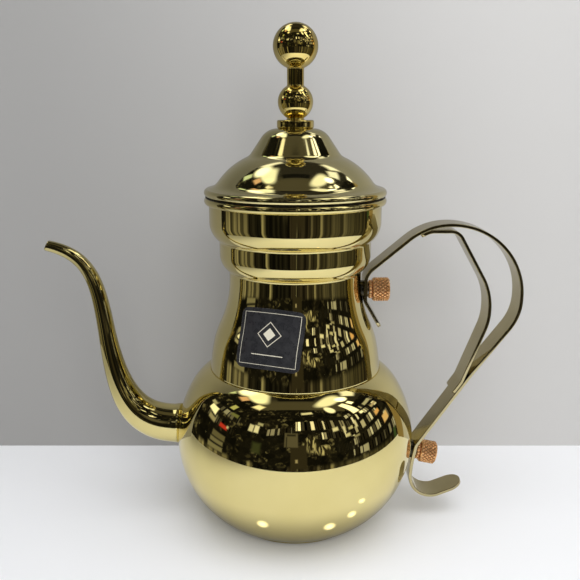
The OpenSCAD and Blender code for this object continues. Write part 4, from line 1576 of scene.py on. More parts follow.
@dataclass
class Lid:
    """The two-stepped lid with its rolled edge and the sleeve that centres it."""

    sheet: float = 0.9
    radius: float = 48.75
    roll_r: float = 2.1
    seat_gap: float = 0.1
    flange_w: float = 6.15
    flange_rise: float = 1.4
    dome_w: float = 16.6
    dome_h: float = 14.7
    dome_arc_r: float = 38.0
    step_w: float = 1.7
    step_h: float = 1.0
    cap_h: float = 13.9
    cap_side_angle: float = 56.0
    cap_shoulder_r: float = 10.5
    rod_hole_r: float = 2.2
    crevice_shade_reach: float = 1.35
    crevice_shade_gap: float = 0.03
    crevice_shade_steps: int = 9
    flange_softness: float = 2.8
    step_softness: tuple[float, ...] = (0.6, 1.2, 0.0, 0.0)
    sleeve_r: float = 44.2
    sleeve_depth: float = 7.6
    sleeve_edge: float = 0.3

    def __post_init__(self) -> None:
        """Works out the radius that the middle of the edge's roll runs at."""
        self.roll_x = self.radius - self.roll_r

    def points(self, mouth_z: float) -> tuple[Point, Point, Point]:
        """Foot and top of the dome, and foot of the cap.

        Args:
            mouth_z: height of the mouth's top.

        Returns:
            The three points.
        """
        edge_z = mouth_z + self.seat_gap + 2 * self.roll_r
        dome_foot = (self.radius - self.flange_w, edge_z + self.flange_rise)
        dome_top = (dome_foot[0] - self.dome_w, dome_foot[1] + self.dome_h)
        return dome_foot, dome_top, (dome_top[0] - self.step_w, dome_top[1] + self.step_h)

    def top_z(self, mouth_z: float) -> float:
        """Height of the lid's top, where the finial stands."""
        return self.points(mouth_z)[2][1] + self.cap_h

    def skin(self, mouth_z: float, inset: float = 0.0) -> list[Point]:
        """The lid's outline from flange to rod hole, moved inwards by inset.

        Args:
            mouth_z: height of the mouth's top.
            inset: how far inside the outer skin.

        Returns:
            The outline.
        """
        dome_foot, dome_top, cap_foot = self.points(mouth_z)
        centre, first, last = arc_between(dome_foot, dome_top, self.dome_arc_r)
        dome = arc_points(centre, self.dome_arc_r - inset, first, last)
        slope = math.radians(self.cap_side_angle)
        out = np.array([math.sin(slope), math.cos(slope)])
        mid_z = self.top_z(mouth_z) - self.cap_shoulder_r
        mid_x = (float(np.dot(cap_foot, out)) - self.cap_shoulder_r - mid_z * out[1]) / out[0]
        level = 90.0 - self.cap_side_angle
        shoulder = arc_points((mid_x, mid_z), self.cap_shoulder_r - inset, level, 90.0, 0.5)
        side_foot = tuple(np.array(cap_foot) - inset * out)
        edge_z = dome_foot[1] - self.flange_rise - inset
        path = [
            line_points((self.roll_x, edge_z), dome[0], 0.3), dome, line_points(dome[-1], side_foot, 0.3),
            line_points(side_foot, shoulder[0]), shoulder,
            line_points(shoulder[-1], (self.rod_hole_r, shoulder[-1][1]), 0.8),
        ]
        return soft_join(path, (self.flange_softness, *self.step_softness))

    def build(self, pot: PotBody, shop: Workshop) -> None:
        """Builds the lid, its sleeve and a dark ring of painted shade that fills the crevice between its roll
        and the mouth.

        Args:
            pot: the pot.
            shop: fits the pieces.
        """
        mouth_z = pot.mouth_z
        roll_z = mouth_z + self.seat_gap + self.roll_r
        # painted shade: a thin black ring fills the crevice between the lid's roll and the mouth's bead
        steps = np.linspace(0.0, self.crevice_shade_reach, self.crevice_shade_steps)
        bead_x = pot.collar_top_r + pot.bead_stand_out
        gap = self.crevice_shade_gap
        over = [(self.roll_x + x, roll_z - math.sqrt(self.roll_r**2 - x * x) - gap) for x in steps]
        rise = [math.sqrt(pot.bead_r**2 - (self.roll_x + x - bead_x) ** 2) for x in steps]
        under = [(self.roll_x + x, pot.bead_z + up + gap) for x, up in zip(steps, rise)]
        crevice_shade = turned("lid_seat_shade_fill", over + under[::-1])
        shop.fit(crevice_shade, shop.crevice_shade_black, Slot.DARK_STEEL, Body.LID)
        outer, inner = self.skin(mouth_z), self.skin(mouth_z, self.sheet)
        start = math.degrees(math.asin((self.roll_r - self.sheet) / self.roll_r))
        roll = arc_points((self.roll_x, roll_z), self.roll_r, 90.0, -180.0 - start, 0.2)
        lid = turned("lid_dome", outer[::-1] + roll[1:] + inner)
        shop.fit(lid, shop.lid_gold, Slot.GOLD, Body.LID, "lid_shell")
        foot_z = mouth_z - self.sleeve_depth
        wide, narrow, edge = self.sleeve_r, self.sleeve_r - self.sheet, self.sleeve_edge
        under = [(r, z) for r, z in inner if r < wide]
        top_in = next(z for r, z in under if r <= narrow)
        sleeve = [(narrow, foot_z + edge), (narrow + edge, foot_z)]
        sleeve += [(wide - edge, foot_z), (wide, foot_z + edge)]
        sleeve += line_points((wide, foot_z + 1), (wide, under[0][1])) + [(narrow, top_in)]
        shop.fit(turned("lid_ring", sleeve), shop.raw_gold, Slot.GOLD, Body.LID, "lid_sleeve")


@dataclass
class Finial:
    """The stack of turned pieces on top of the lid, on one threaded rod."""

    foot_r: float = 9.75
    foot_h: float = 4.3
    foot_edge_r: float = 0.9
    small_r: float = 9.25
    big_r: float = 11.7
    stem_r: float = 4.4
    stem_h: float = 8.9
    neck_h: float = 1.0
    rod_r: float = 2.0
    rod_gap: float = 0.2
    rod_in_ball: float = 9.0
    rod_below_nut: float = 2.0
    washer_t: float = 1.0
    nut_h: float = 3.2
    nut_w: float = 7.0
    nut_chamfer: float = 0.35
    thread_pitch: float = 0.7
    thread_depth: float = 0.25
    ball_flare: float = 0.5
    stem_flare: float = 0.25
    stem_flare_h: float = 0.3
    crown_angle: float = 89.6
    sides: int = 160
    rod_sides: int = 64
    nut_sides: int = 144

    def build(self, lid_top: float, sheet: float, shop: Workshop) -> None:
        """Builds every piece of the finial.

        Args:
            lid_top: height of the lid's top.
            sheet: thickness of the lid's sheet.
            shop: fits the pieces.
        """
        bore = self.rod_r + self.rod_gap
        foot_top = lid_top + self.foot_h
        small_flat = math.sqrt(self.small_r**2 - self.stem_r**2)
        big_flat = math.sqrt(self.big_r**2 - self.stem_r**2)
        small_z = foot_top + self.neck_h + small_flat
        stem_z = small_z + small_flat
        stem_top = stem_z + self.stem_h
        big_z = stem_top + big_flat
        edge, rim_x = self.foot_edge_r, self.foot_r - self.foot_edge_r
        rim = arc_points((rim_x, lid_top + edge), edge, -90.0, 0.0, 0.15)
        rim += arc_points((rim_x, foot_top - edge), edge, 0.0, 90.0, 0.15)
        foot = line_points((bore, lid_top), rim[0]) + rim[1:] + line_points(rim[-1], (bore, foot_top))[1:]
        self.put(shop, "finial_base_ring", foot, True, "finial_foot")

        angle = math.degrees(math.acos(self.stem_r / self.small_r))
        ball = arc_points((0.0, small_z), self.small_r, -angle, angle, 0.3)
        rest = (self.stem_r + self.ball_flare, foot_top)
        small = soft_join([[(bore, foot_top), rest], line_points(rest, ball[0], 0.2), ball], [0.0, 0.35])
        self.put(shop, "finial_lower_ball", small + [(bore, stem_z)], True, "finial_small_ball")

        wide, flare_h = self.stem_r + self.stem_flare, self.stem_flare_h
        low, high = (self.stem_r, stem_z + flare_h), (self.stem_r, stem_top - flare_h)
        strands = [
            [(bore, stem_z), (wide, stem_z)], line_points((wide, stem_z), low, 0.1),
            line_points(low, high), line_points(high, (wide, stem_top), 0.1),
        ]
        stem = soft_join(strands, [0.0, 0.12, 0.12])
        self.put(shop, "finial_column", stem + [(bore, stem_top)], True, "finial_stem")

        angle = math.degrees(math.acos(self.stem_r / self.big_r))
        rod_end = stem_top + self.rod_in_ball
        ball = arc_points((0.0, big_z), self.big_r, -angle, self.crown_angle, 0.3)
        big = [(AXIS, rod_end), (bore, rod_end), (bore, stem_top), (self.stem_r, stem_top)]
        big += ball[1:] + [(AXIS, big_z + self.big_r)]
        self.put(shop, "finial_upper_ball", big, False, "finial_big_ball")
        self.build_rod(lid_top - sheet, rod_end, shop)

    def put(self, shop: Workshop, name: str, outline: Sequence[Point], closed: bool, node: str) -> None:
        """Turns one gold piece of the finial and fits it."""
        shop.fit(turned(name, outline, self.sides, closed), shop.deep_gold, Slot.DEEP_GOLD, Body.LID, node)

    def build_rod(self, under_z: float, rod_end: float, shop: Workshop) -> None:
        """Builds the rod and the hexagonal nut under the lid, and dresses the washer.

        Args:
            under_z: height of the lid's underside.
            rod_end: height of the rod's top.
            shop: fits the pieces.
        """
        r, low = self.rod_r, under_z - self.washer_t - self.nut_h - self.rod_below_nut
        outline = [(AXIS, low), (r - 0.35, low)]
        outline += [(r, z) for z in np.arange(low + 0.35, under_z, self.thread_pitch / 8)]
        outline += [(r, under_z + 0.1), (r, rod_end), (AXIS, rod_end)]
        thread = Thread(r, low, under_z, self.thread_pitch, self.thread_depth)
        rod = turned("finial_threaded_rod", outline, self.rod_sides, False, thread.radii)
        shop.fit(rod, shop.dark_steel, Slot.DARK_STEEL, Body.LID, "finial_rod")
        top = under_z - self.washer_t
        foot, chamfer = top - self.nut_h, self.nut_chamfer
        flat = self.nut_w / 2
        corner = flat / math.cos(math.pi / 6)
        outline = [(r + 0.02, top), (r + 0.02, foot + 0.4), (r + 0.42, foot), (flat - 0.1, foot)]
        outline += [(corner, z) for z in np.linspace(foot + 0.01, foot + chamfer, 5)]
        outline += [(corner, z) for z in np.linspace(top - chamfer, top - 0.01, 5)]
        outline += [(flat - 0.1, top)]

        def hexagon(angles: np.ndarray, radius: float, z: float) -> np.ndarray:
            """Radii of the nut's six flats, cut back by the chamfer cones at both ends.

            Args:
                angles: where around the nut.
                radius: the outline's radius.
                z: the height.

            Returns:
                The radii.
            """
            if radius < corner - HAIR:
                return np.full(len(angles), radius)
            sixth = (angles + math.pi / 6) % (math.pi / 3) - math.pi / 6
            cone = flat - 0.1 + (corner - flat + 0.1) * min(1.0, min(z - foot, top - z) / chamfer)
            return np.minimum(flat / np.cos(sixth), cone)

        nut = turned("finial_lock_nut", outline, self.nut_sides, True, hexagon)
        shop.fit(nut, shop.dark_steel, Slot.DARK_STEEL, Body.LID, "finial_nut")
        shop.dress_node("finial_washer", shop.dark_steel)


# ---------------- studio


LEAST_DEPTH = 0.02  # directions are divided by no less than this


@dataclass(frozen=True)
class Patch:
    """A lit or dark thing in the room: its direction, half its size and its soft edge, in degrees."""

    azimuth: float
    height: float
    wide: float
    high: float
    colour: Colour
    soft: float = 0.8
    oval: bool = False


@dataclass(frozen=True)
class Shelf:
    """A row of upright things of uneven width on a straight shelf.

    facing is the azimuth of its middle. low and high are its foot and top as rise over
    distance, left and right its ends as way across over distance. bars is how many things
    stand in one unit of width, seed picks another set of them, level is how bright the
    brightest are, and gaps is the share of the places that are dark.
    """

    facing: float
    low: float
    high: float
    bars: float
    seed: float
    level: float
    gaps: float
    left: float
    right: float


class Room:
    """Paints the room that polished metal shows, by direction from the pot."""

    lamps: tuple[Patch, ...] = (
        Patch(-104, 67, 38, 7, (1.4, 1.43, 1.28), 2, True),
        Patch(-128, 59, 18, 6, (2.3, 2.35, 2.2), 2.5, True),
        Patch(-82, 66, 9, 3.6, (1.9, 1.8, 1.4), 2, True),
        Patch(-97, 56, 7, 3.4, (1, 0.62, 0.42), 1.5),
        Patch(-60, 57, 7, 4, (1.5, 1.4, 1.1), 2),
        Patch(-120, 47, 5, 4, (0.8, 0.95, 0.7), 1.2),
        Patch(-155, 53, 11, 6, (1.5, 1.5, 1.45), 2.5),
        Patch(-81, 39, 3.5, 4, (0.6, 0.62, 0.3)),
        Patch(78, 67, 34, 6.5, (1.35, 1.35, 1.2), 2, True),
        Patch(94, 60, 9, 4.4, (3.2, 3.2, 3.1), 1.5, True),
        Patch(75, 44, 4.5, 11, (2.2, 2.15, 2), 1),
        Patch(52, 54, 6, 7, (1.6, 1.6, 1.5), 1.5, True),
        Patch(87, 50, 3, 3, (2.4, 2.4, 2.3)),
        Patch(118, 56, 10, 4.5, (1.4, 1.4, 1.4), 2),
        Patch(142, 50, 9, 6, (1.5, 1.5, 1.45), 2.5),
        Patch(17, 55.5, 8, 2, (1, 0.98, 0.85), 1.2),
    )
    things: tuple[Patch, ...] = (
        Patch(3, 3, 7.5, 12, (0.035, 0.03, 0.02)), Patch(-4, 20, 6.5, 7, (0.12, 0.11, 0.085)),
        Patch(-4, 25, 4.5, 1, (0.03, 0.028, 0.02)), Patch(-8.5, 18, 0.5, 5, (0.02, 0.02, 0.015)),
        Patch(1, -1, 1, 1.6, (0.45, 0.4, 0.3)), Patch(51, 22, 1.2, 3, (0.9, 0.88, 0.8)),
        Patch(42, 25, 3, 1.6, (1, 0.98, 0.85)), Patch(58, 21, 2.4, 1, (0.7, 0.68, 0.5)),
        Patch(65, 22, 1.3, 3, (0.9, 0.88, 0.8)), Patch(79, 29, 2.3, 2, (1.7, 1.7, 1.6)),
        Patch(53, 16, 2.5, 1.4, (0.8, 0.78, 0.65)), Patch(62, 12, 3, 0.8, (0.4, 0.38, 0.3)),
        Patch(98, 36, 7, 2, (0.55, 0.55, 0.5)), Patch(99, 27, 5, 1.5, (0.6, 0.5, 0.4)),
        Patch(95, 17, 3.2, 1.6, (0.95, 0.55, 0.26)), Patch(102, 8, 4.2, 2.6, (0.9, 0.62, 0.36)),
        Patch(109, -7, 2, 3, (0.05, 0.09, 0.04)), Patch(-76, 14, 5, 1.5, (0.62, 0.05, 0.04)),
        Patch(-71, 15.5, 1.2, 1, (0.7, 0.68, 0.6)), Patch(-97, 20, 6, 3.6, (1.5, 1.5, 1.4)),
        Patch(-93, 13, 5, 1.6, (0.4, 0.38, 0.3)), Patch(-104, 26, 4, 2, (0.5, 0.5, 0.42)),
        Patch(-78, 5, 8, 2.2, (0.15, 0.14, 0.1)), Patch(-79, 0, 8, 1.6, (0.21, 0.2, 0.15)),
        Patch(-80, -5, 9, 1.8, (0.24, 0.23, 0.17)), Patch(-46.5, 25, 2.4, 3.2, (0.85, 0.85, 0.78)),
        Patch(-40.5, 25.5, 2.4, 3.4, (1, 1, 0.92)), Patch(-38, 31, 3, 1.2, (0.5, 0.5, 0.4)),
        Patch(-70, 29, 5, 2, (0.2, 0.22, 0.1)), Patch(-37, 8, 4, 5, (0.05, 0.06, 0.03), 2),
        Patch(122, 40, 4, 3, (2.2, 2.2, 2.2)),
    )
    shelves: tuple[Shelf, ...] = (
        Shelf(8, 0.57, 0.82, 13, 1, 2, 0.42, -0.16, 1.3),
        Shelf(8, 0.36, 0.50, 17, 5, 1.3, 0.55, 0.3, 1.3),
        Shelf(8, 0.06, 0.22, 19, 9, 0.5, 0.7, 0.62, 1.3),
        Shelf(8, 0.50, 0.66, 12, 3, 0.9, 0.6, -0.75, -0.22),
        Shelf(86, 0.66, 0.80, 12, 2, 0.9, 0.55, -0.62, 0.7),
        Shelf(86, 0.46, 0.60, 15, 4, 1.1, 0.5, -0.62, 0.7),
        Shelf(86, 0.28, 0.40, 13, 6, 1, 0.5, -0.62, 0.7),
        Shelf(86, 0.10, 0.21, 16, 7, 0.8, 0.55, -0.62, 0.7),
        Shelf(86, -0.08, 0.03, 14, 8, 0.5, 0.6, -0.62, 0.6),
        Shelf(-84, 0.44, 0.60, 11, 12, 0.4, 0.6, -0.45, 0.4),
        Shelf(-84, 0.22, 0.32, 14, 13, 0.3, 0.6, -0.4, 0.4),
    )
    low_stops: tuple[tuple[float, Colour], ...] = (
        (-103, (0.02, 0.018, 0.014)), (-101, (0.30, 0.28, 0.2)), (-94, (0.26, 0.24, 0.17)),
        (-93, (0.03, 0.027, 0.02)), (-91.5, (0.16, 0.15, 0.1)), (-82, (0.2, 0.185, 0.13)),
        (-81, (0.03, 0.027, 0.02)), (-79, (0.2, 0.185, 0.13)), (-64, (0.13, 0.12, 0.085)),
        (-62, (0.02, 0.018, 0.013)), (-45, (0.012, 0.012, 0.01)), (-43.5, (0.3, 0.28, 0.19)),
        (-40, (0.16, 0.15, 0.1)), (-38.5, (0.012, 0.012, 0.01)), (-8, (0.012, 0.011, 0.009)),
        (-6, (0.05, 0.042, 0.03)), (0.8, (0.04, 0.034, 0.025)), (1.6, (0.5, 0.48, 0.36)),
        (2.4, (0.03, 0.026, 0.02)), (18, (0.03, 0.026, 0.02)), (20, (0.12, 0.11, 0.08)),
        (23, (0.04, 0.035, 0.025)), (31, (0.05, 0.045, 0.03)), (33, (0.24, 0.22, 0.15)),
        (37, (0.12, 0.11, 0.08)), (40, (0.05, 0.045, 0.03)), (72, (0.13, 0.12, 0.085)),
        (78, (0.06, 0.055, 0.035)), (96, (0.09, 0.08, 0.05)), (104, (0.03, 0.025, 0.015)),
    )

    low_half: float = 110.0
    clutter_stops: tuple[tuple[float, Colour], ...] = (
        (0.0, (0.005, 0.005, 0.004)), (0.66, (0.012, 0.011, 0.009)),
        (0.88, (0.04, 0.036, 0.024)), (1.0, (0.14, 0.13, 0.09)),
    )
    foil_places: tuple[tuple[float, ...], ...] = ((15.0, 15.0, 8.0, 8.0), (27.0, 8.0, 9.0, 5.0))
    foil_dark: Colour = (0.03, 0.026, 0.016)
    foil_bright: Colour = (0.75, 0.7, 0.48)
    plaster_far: Colour = (0.03, 0.028, 0.024)
    plaster_near: Colour = (0.085, 0.077, 0.054)
    duct_tint: Colour = (0.008, 0.008, 0.007)
    aside_tint: Colour = (0.16, 0.12, 0.06)

    def __init__(self, sheet: NodeSheet) -> None:
        """Works out direction, azimuth and height.

        Args:
            sheet: the sheet that the nodes go onto.
        """
        self.sheet = sheet
        way = sheet.parts(sheet.node("TexCoord").outputs["Generated"])
        self.x, self.ahead, self.z = way[0], sheet.times(way[1], -1.0), way[2]
        degree = 180 / math.pi
        self.az = sheet.times(sheet.math("ARCTAN2", self.x, self.ahead), degree)
        self.el = sheet.times(sheet.math("ARCSINE", self.z), degree)

    def lay(self, room: bpy.types.NodeSocket, patch: Patch) -> Output:
        """Lays a patch over the room.

        Args:
            room: the room's colour so far.
            patch: the patch.

        Returns:
            The colour with the patch.
        """
        sheet = self.sheet
        side = sheet.minus(sheet.size(sheet.minus(self.az, patch.azimuth)), patch.wide)
        rise = sheet.minus(sheet.size(sheet.minus(self.el, patch.height)), patch.high)
        far = sheet.most(side, rise)
        if patch.oval:
            a, b = (sheet.over(gap, half) for gap, half in ((side, patch.wide), (rise, patch.high)))
            a, b = sheet.plus(a, 1.0), sheet.plus(b, 1.0)
            spread = sheet.math("SQRT", sheet.squares(a, b))
            far = sheet.times(sheet.minus(spread, 1.0), min(patch.wide, patch.high))
        mask = sheet.ease(far, -patch.soft, patch.soft, 1.0, 0.0)
        return sheet.mix(mask, room, patch.colour)

    def stand(self, row: Shelf) -> tuple[Output, Output]:
        """The mask and the colour of a shelf's row of things.

        Args:
            row: the shelf.

        Returns:
            Where the row is, and its colour.
        """
        sheet, turn = self.sheet, math.radians(row.facing)
        sine, cosine = math.sin(turn), math.cos(turn)
        depth = sheet.plus(sheet.times(self.ahead, cosine), sheet.times(self.x, sine))
        side = sheet.minus(sheet.times(self.x, cosine), sheet.times(self.ahead, sine))
        safe = sheet.most(depth, LEAST_DEPTH)
        u, v = sheet.over(side, safe), sheet.over(self.z, safe)
        drift = sheet.noise(sheet.vector(u, row.seed), 2.3)
        run = sheet.plus(sheet.times(u, row.bars), sheet.times(drift, 7.0))
        inside = sheet.span(sheet.math("FRACT", run), 0.16, 0.86, 0.07)
        cell = sheet.vector(sheet.math("FLOOR", run), row.seed)
        pick = sheet.node("TexWhiteNoise", {"Vector": cell}, noise_dimensions="3D").outputs["Value"]
        shade = sheet.times(sheet.ease(pick, row.gaps - 0.05, 1.0, 0.02, row.level), inside)
        uneven = (row.high - row.low) * 0.3
        top = sheet.plus(v, sheet.times(pick, uneven))
        short = sheet.ease(top, row.high + 0.02, row.high + 0.05 + uneven, 1.0, 0.4)
        colour = sheet.mix(pick, (0.9, 0.78, 0.55), (1.0, 1.0, 0.97))
        lit = sheet.scaled(colour, sheet.times(shade, short))
        rows = sheet.span(v, row.low, row.high, 0.012)
        return sheet.times(rows, sheet.span(u, row.left, row.right, 0.02)), lit

    def clutter(self, cells: Output, grain: Output) -> Output:
        """Small dim things all over the room.

        Args:
            cells: the direction, divided into cells.
            grain: an uneven value over the same cells.

        Returns:
            Their colour.
        """
        sheet = self.sheet
        look = sheet.node("TexVoronoi", {"Vector": cells, "Scale": 1.0, "Randomness": 1.0}).outputs
        level = sheet.node("SeparateColor", {0: look["Color"]}).outputs[0]
        level = sheet.times(level, sheet.ease(grain, 0.3, 0.65, 0.5, 1.1))
        return sheet.steps(level, self.clutter_stops)

    def low_room(self) -> Output:
        """What stands lower than the table's edge, by azimuth, in uneven streaks.

        Returns:
            Its colour.
        """
        sheet, half = self.sheet, self.low_half
        share = sheet.over(sheet.plus(self.az, half), 2 * half)
        low = sheet.steps(share, [((az + half) / (2 * half), colour) for az, colour in self.low_stops])
        streak = sheet.noise(sheet.vector(self.az), 0.17, 2.0)
        return sheet.scaled(low, sheet.ease(streak, 0.42, 0.60, 0.35, 1.4))

    def ceiling(self, room: Output) -> Output:
        """Lays the plain ceiling and its dark duct over the room.

        Args:
            room: the room's colour so far.

        Returns:
            The colour with the ceiling.
        """
        sheet = self.sheet
        up = sheet.most(self.z, LEAST_DEPTH)
        front, left = sheet.over(self.ahead, up), sheet.over(sheet.times(self.x, -1.0), up)
        over = sheet.times(sheet.ease(front, 0.45, 0.49, 1.0, 0.0), sheet.span(left, -0.92, 0.57, 0.03))
        plaster = sheet.mix(sheet.ease(front, -0.05, 0.2), self.plaster_far, self.plaster_near)
        duct = sheet.times(sheet.span(front, -0.05, 0.09, 0.012), sheet.span(left, -0.22, 0.2, 0.02))
        return sheet.mix(over, room, sheet.mix(duct, plaster, self.duct_tint))

    def foil(self, room: Output, grain: Output) -> Output:
        """Lays patches of crumpled foil over the room.

        Args:
            room: the room's colour so far.
            grain: an uneven value that frays the patches.

        Returns:
            The colour with the foil.
        """
        sheet = self.sheet
        drawn = sheet.vector(sheet.over(self.az, 4.0), sheet.over(self.el, 14.0))
        crease = sheet.noise(drawn, 1.3, 1.0, Distortion=0.8)
        shine = sheet.mix(sheet.ease(crease, 0.46, 0.66), self.foil_dark, self.foil_bright)
        for azimuth, height, wide, high in self.foil_places:
            a = sheet.over(sheet.minus(self.az, azimuth), wide)
            b = sheet.over(sheet.minus(self.el, height), high)
            ragged = sheet.plus(sheet.squares(a, b), grain)
            room = sheet.mix(sheet.ease(ragged, 0.8, 1.9, 0.85, 0.0), room, shine)
        return room

    def paint(self) -> Output:
        """Paints everything.

        Returns:
            The room's colour.
        """
        sheet = self.sheet
        cells = sheet.vector(sheet.over(self.az, 6.0), sheet.over(self.el, 5.0))
        grain = sheet.noise(cells, 1.6, 4.0)
        room = self.clutter(cells, grain)
        room = sheet.mix(sheet.ease(self.el, -9.0, -5.0, 1.0, 0.0), room, self.low_room())
        for row in self.shelves:
            mask, lit = self.stand(row)
            room = sheet.mix(mask, room, lit)
        room = self.foil(self.ceiling(room), grain)
        for patch in self.things + self.lamps:
            room = self.lay(room, patch)
        aside = sheet.times(sheet.ease(self.az, 112.0, 118.0), sheet.ease(self.el, 30.0, 36.0, 1.0, 0.0))
        return sheet.mix(aside, room, self.aside_tint)


@dataclass
class Studio:
    """Pale floor and back panel, soft lamps, and the dim room that polished metal shows."""

    wall_y: float = 0.086
    floor_half: float = 2.4
    table_x: float = 0.395
    table_y: float = 0.335
    floor_tint: Colour = (0.90, 0.91, 0.935)
    # the panel is painted darker to the left and lighter to the right, as light falls across it
    wall_left_shaded: Colour = (0.335, 0.33, 0.322)
    wall_right_lit: Colour = (0.575, 0.567, 0.555)
    # painted shade that metal sees on the panel, darker towards its top
    wall_loss_low: float = 0.14
    wall_loss_high: float = 0.6
    wall_fade: Point = (0.08, 0.32)
    wall_half: float = 1.3
    wall_ends: tuple[Point, ...] = ((-0.302, -0.308), (0.326, 0.334))
    wall_top_end: Point = (0.36, 0.39)
    painted_reflection_from: Point = (0.215, 0.225)
    painted_reflection_tint: Colour = (0.26, 0.19, 0.07)
    foot_shade: float = 0.5
    foot_reach: Point = (0.045, 0.085)
    left_shade: float = 0.6
    left_reach: Point = (-0.36, -0.10)
    shade_tint: Colour = (0.1, 0.095, 0.08)
    glint_reach: Point = (0.0012, 0.0058)
    glint_light: Colour = (2.6, 2.5, 2.2)
    daylight: Colour = (0.84, 0.845, 0.85)
    daylight_level: float = 0.72
    glints: tuple[Point, ...] = ((-0.024, -0.058), (0.024, -0.054), (0.045, -0.053), (0.065, -0.058))
    camera_at: Spot = (-0.00285, -0.4032, 0.2302)
    camera_tilt: float = 76.51
    lens: float = 46.55

    def plane(self, name: str, corners: Sequence[Spot]) -> bpy.types.Object:
        """A flat stage piece from its corners, in metres.

        Args:
            name: the piece's name.
            corners: its corners.

        Returns:
            The linked object.
        """
        mesh = bpy.data.meshes.new(name)
        mesh.from_pydata(list(corners), [], [tuple(range(len(corners)))])
        made = bpy.data.objects.new(name, mesh)
        bpy.context.scene.collection.objects.link(made)
        return made

    def clear_past(
        self, made: bpy.types.Material, sheet: NodeSheet, shader: bpy.types.Node, hidden: Output
    ) -> None:
        """Makes a material clear where it is hidden.

        Args:
            made: the material.
            sheet: its node sheet.
            shader: the node that it shows elsewhere.
            hidden: 1 where the material is clear.
        """
        clear = sheet.node("BsdfTransparent")
        mix = sheet.node("MixShader", {0: hidden, 1: shader.outputs[0], 2: clear.outputs[0]})
        sheet.feed(made.node_tree.nodes["Material Output"].inputs[0], mix.outputs[0])

    def build_floor(self) -> None:
        """Lays the floor. Metal sees it end at the table's edge, with painted shade near the pot's foot and
        to the left, and painted glints on it.
        """
        h = self.floor_half
        floor = self.plane("studio_floor", [(-h, -h, -1e-4), (h, -h, -1e-4), (h, h, -1e-4), (-h, h, -1e-4)])
        made, sheet, shader, place = new_material("floor_board")
        shade = tuple(c * 0.97 for c in self.floor_tint)
        pale = sheet.mix(sheet.noise(place, 5.0, 2.0), self.floor_tint, shade)
        glossy = sheet.node("LightPath").outputs["Is Glossy Ray"]
        away = sheet.node("VectorMath", {0: place}, operation="LENGTH").outputs["Value"]
        # painted shade that only metal sees: the floor darker near the pot's foot and towards the left
        foot = sheet.ease(away, *self.foot_reach, self.foot_shade, 0.0)
        parts = sheet.parts(place)
        far_left = sheet.ease(parts[0], *self.left_reach, self.left_shade, 0.0)
        under = sheet.times(sheet.most(foot, far_left), glossy)
        sheet.feed(shader.inputs["Base Color"], sheet.mix(under, pale, self.shade_tint))
        shader.inputs["Roughness"].default_value = 0.35
        shader.inputs["Specular IOR Level"].default_value = 0.35
        far = sheet.squares(sheet.over(parts[0], self.table_x), sheet.over(parts[1], self.table_y))
        edge = sheet.ease(far, 0.985, 1.015)
        # painted glints: small glowing spots that only metal sees, standing in for lamps mirrored in the
        # floor
        spark: Socket = 0.0
        for x, y in self.glints:
            far_off = sheet.node("VectorMath", {0: place, 1: (x, y, 0.0)}, operation="DISTANCE")
            glint = sheet.ease(far_off.outputs["Value"], *self.glint_reach, 1.0, 0.0)
            spark = sheet.most(spark, glint)
        spark = sheet.times(spark, glossy)
        lit = sheet.node("Emission", {"Color": (*self.glint_light, 1.0)})
        shine = sheet.node("MixShader", {0: spark, 1: shader.outputs[0], 2: lit.outputs[0]})
        self.clear_past(made, sheet, shine, sheet.times(edge, glossy))
        floor.data.materials.append(made)

    def build_wall(self) -> None:
        """Stands the back panel up; only its front shows, and metal sees it end at both sides."""
        y, h = self.wall_y, self.wall_half
        wall = self.plane("studio_back_panel", [(-h, y, -2e-4), (h, y, -2e-4), (h, y, h), (-h, y, h)])
        made, sheet, shader, place = new_material("back_panel")
        noise = sheet.noise(place, 3.0, 1.5)
        parts = sheet.parts(place)
        # painted light: the panel's colour runs from darker on the left to lighter on the right
        run = sheet.plus(parts[0], sheet.times(sheet.minus(noise, 0.5), 0.05))
        tone = sheet.mix(sheet.ease(run, -0.19, 0.17), self.wall_left_shaded, self.wall_right_lit)
        glossy = sheet.node("LightPath").outputs["Is Glossy Ray"]
        # painted reflection: metal sees the panel's right part gold-brown
        painted_reflection = sheet.times(sheet.ease(parts[0], *self.painted_reflection_from), glossy)
        # painted shade: metal sees the panel darker towards its top
        loss = sheet.ease(parts[2], *self.wall_fade, self.wall_loss_low, self.wall_loss_high)
        dim = sheet.mix(sheet.times(glossy, loss), tone, (0.0, 0.0, 0.0))
        sheet.feed(shader.inputs["Base Color"], sheet.mix(painted_reflection, dim, self.painted_reflection_tint))
        shader.inputs["Roughness"].default_value = 0.6
        shader.inputs["Specular IOR Level"].default_value = 0.2
        past = sheet.most(*(sheet.ease(parts[0], *end) for end in self.wall_ends))
        past = sheet.most(past, sheet.ease(parts[2], *self.wall_top_end))
        back = sheet.node("NewGeometry").outputs["Backfacing"]
        hide = sheet.most(back, sheet.times(past, glossy))
        self.clear_past(made, sheet, shader, hide)
        wall.data.materials.append(made)

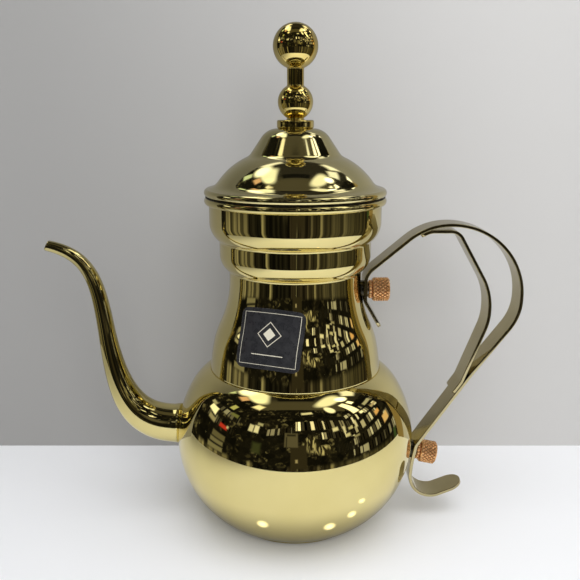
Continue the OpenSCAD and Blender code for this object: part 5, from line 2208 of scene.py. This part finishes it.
    def build_room(self) -> None:
        """Sets the world: plain and pale, except that polished metal sees the room."""
        world = bpy.data.worlds.new("studio_room")
        bpy.context.scene.world = world
        world.use_nodes = True
        sheet = NodeSheet(world.node_tree)
        glossy = sheet.node("LightPath").outputs["Is Glossy Ray"]
        plain = sheet.node("Background", {"Color": (*self.daylight, 1.0), "Strength": self.daylight_level})
        dim = sheet.node("Background", {"Color": Room(sheet).paint(), "Strength": 1.0})
        mix = sheet.node("MixShader", {0: glossy, 1: plain.outputs[0], 2: dim.outputs[0]})
        output = next(n for n in world.node_tree.nodes if n.type == "OUTPUT_WORLD")
        sheet.feed(output.inputs[0], mix.outputs[0])

    def lamp(self, name: str, at: Spot, aim: Spot, size: float, power: float) -> None:
        """A soft square lamp that metal doesn't mirror.

        Args:
            name: the lamp's name.
            at: its place.
            aim: the place it faces.
            size: its side.
            power: its watts.
        """
        data = bpy.data.lights.new(name, "AREA")
        data.shape, data.size, data.energy = "SQUARE", size, power
        made = bpy.data.objects.new(name, data)
        made.location = at
        made.rotation_euler = (Vector(aim) - Vector(at)).to_track_quat("-Z", "Y").to_euler()
        made.visible_glossy = False
        bpy.context.scene.collection.objects.link(made)

    def build(self) -> None:
        """Builds floor, panel, room, lamps and camera."""
        self.build_floor()
        self.build_wall()
        self.build_room()
        self.lamp("overhead_lamp", (0.1, -0.3, 1.0), (0.0, -0.1, 0.0), 0.9, 5.5)
        self.lamp("front_lamp", (0.15, -0.95, 0.6), (0.0, 0.0, 0.1), 0.5, 4.0)
        data = bpy.data.cameras.new("studio_camera")
        data.sensor_width, data.lens, data.clip_start = 36.0, self.lens, 0.01
        camera = bpy.data.objects.new("studio_camera", data)
        camera.location = self.camera_at
        camera.rotation_euler = (math.radians(self.camera_tilt), 0.0, 0.0)
        bpy.context.scene.collection.objects.link(camera)
        bpy.context.scene.camera = camera
        bpy.context.scene.view_settings.view_transform = "Standard"


def main() -> None:
    """Builds the studio, then the pot from its base up."""
    logging.basicConfig(level=logging.INFO, format="%(message)s")
    Studio().build()
    shop = Workshop()
    pot = PotBody()
    pot.build(shop)
    Spout().build(pot, shop)
    Label().build(pot, shop)
    Handle().build(pot, shop)
    lid = Lid()
    lid.build(pot, shop)
    Finial().build(lid.top_z(pot.mouth_z), lid.sheet, shop)


if __name__ == "__main__":
    main()
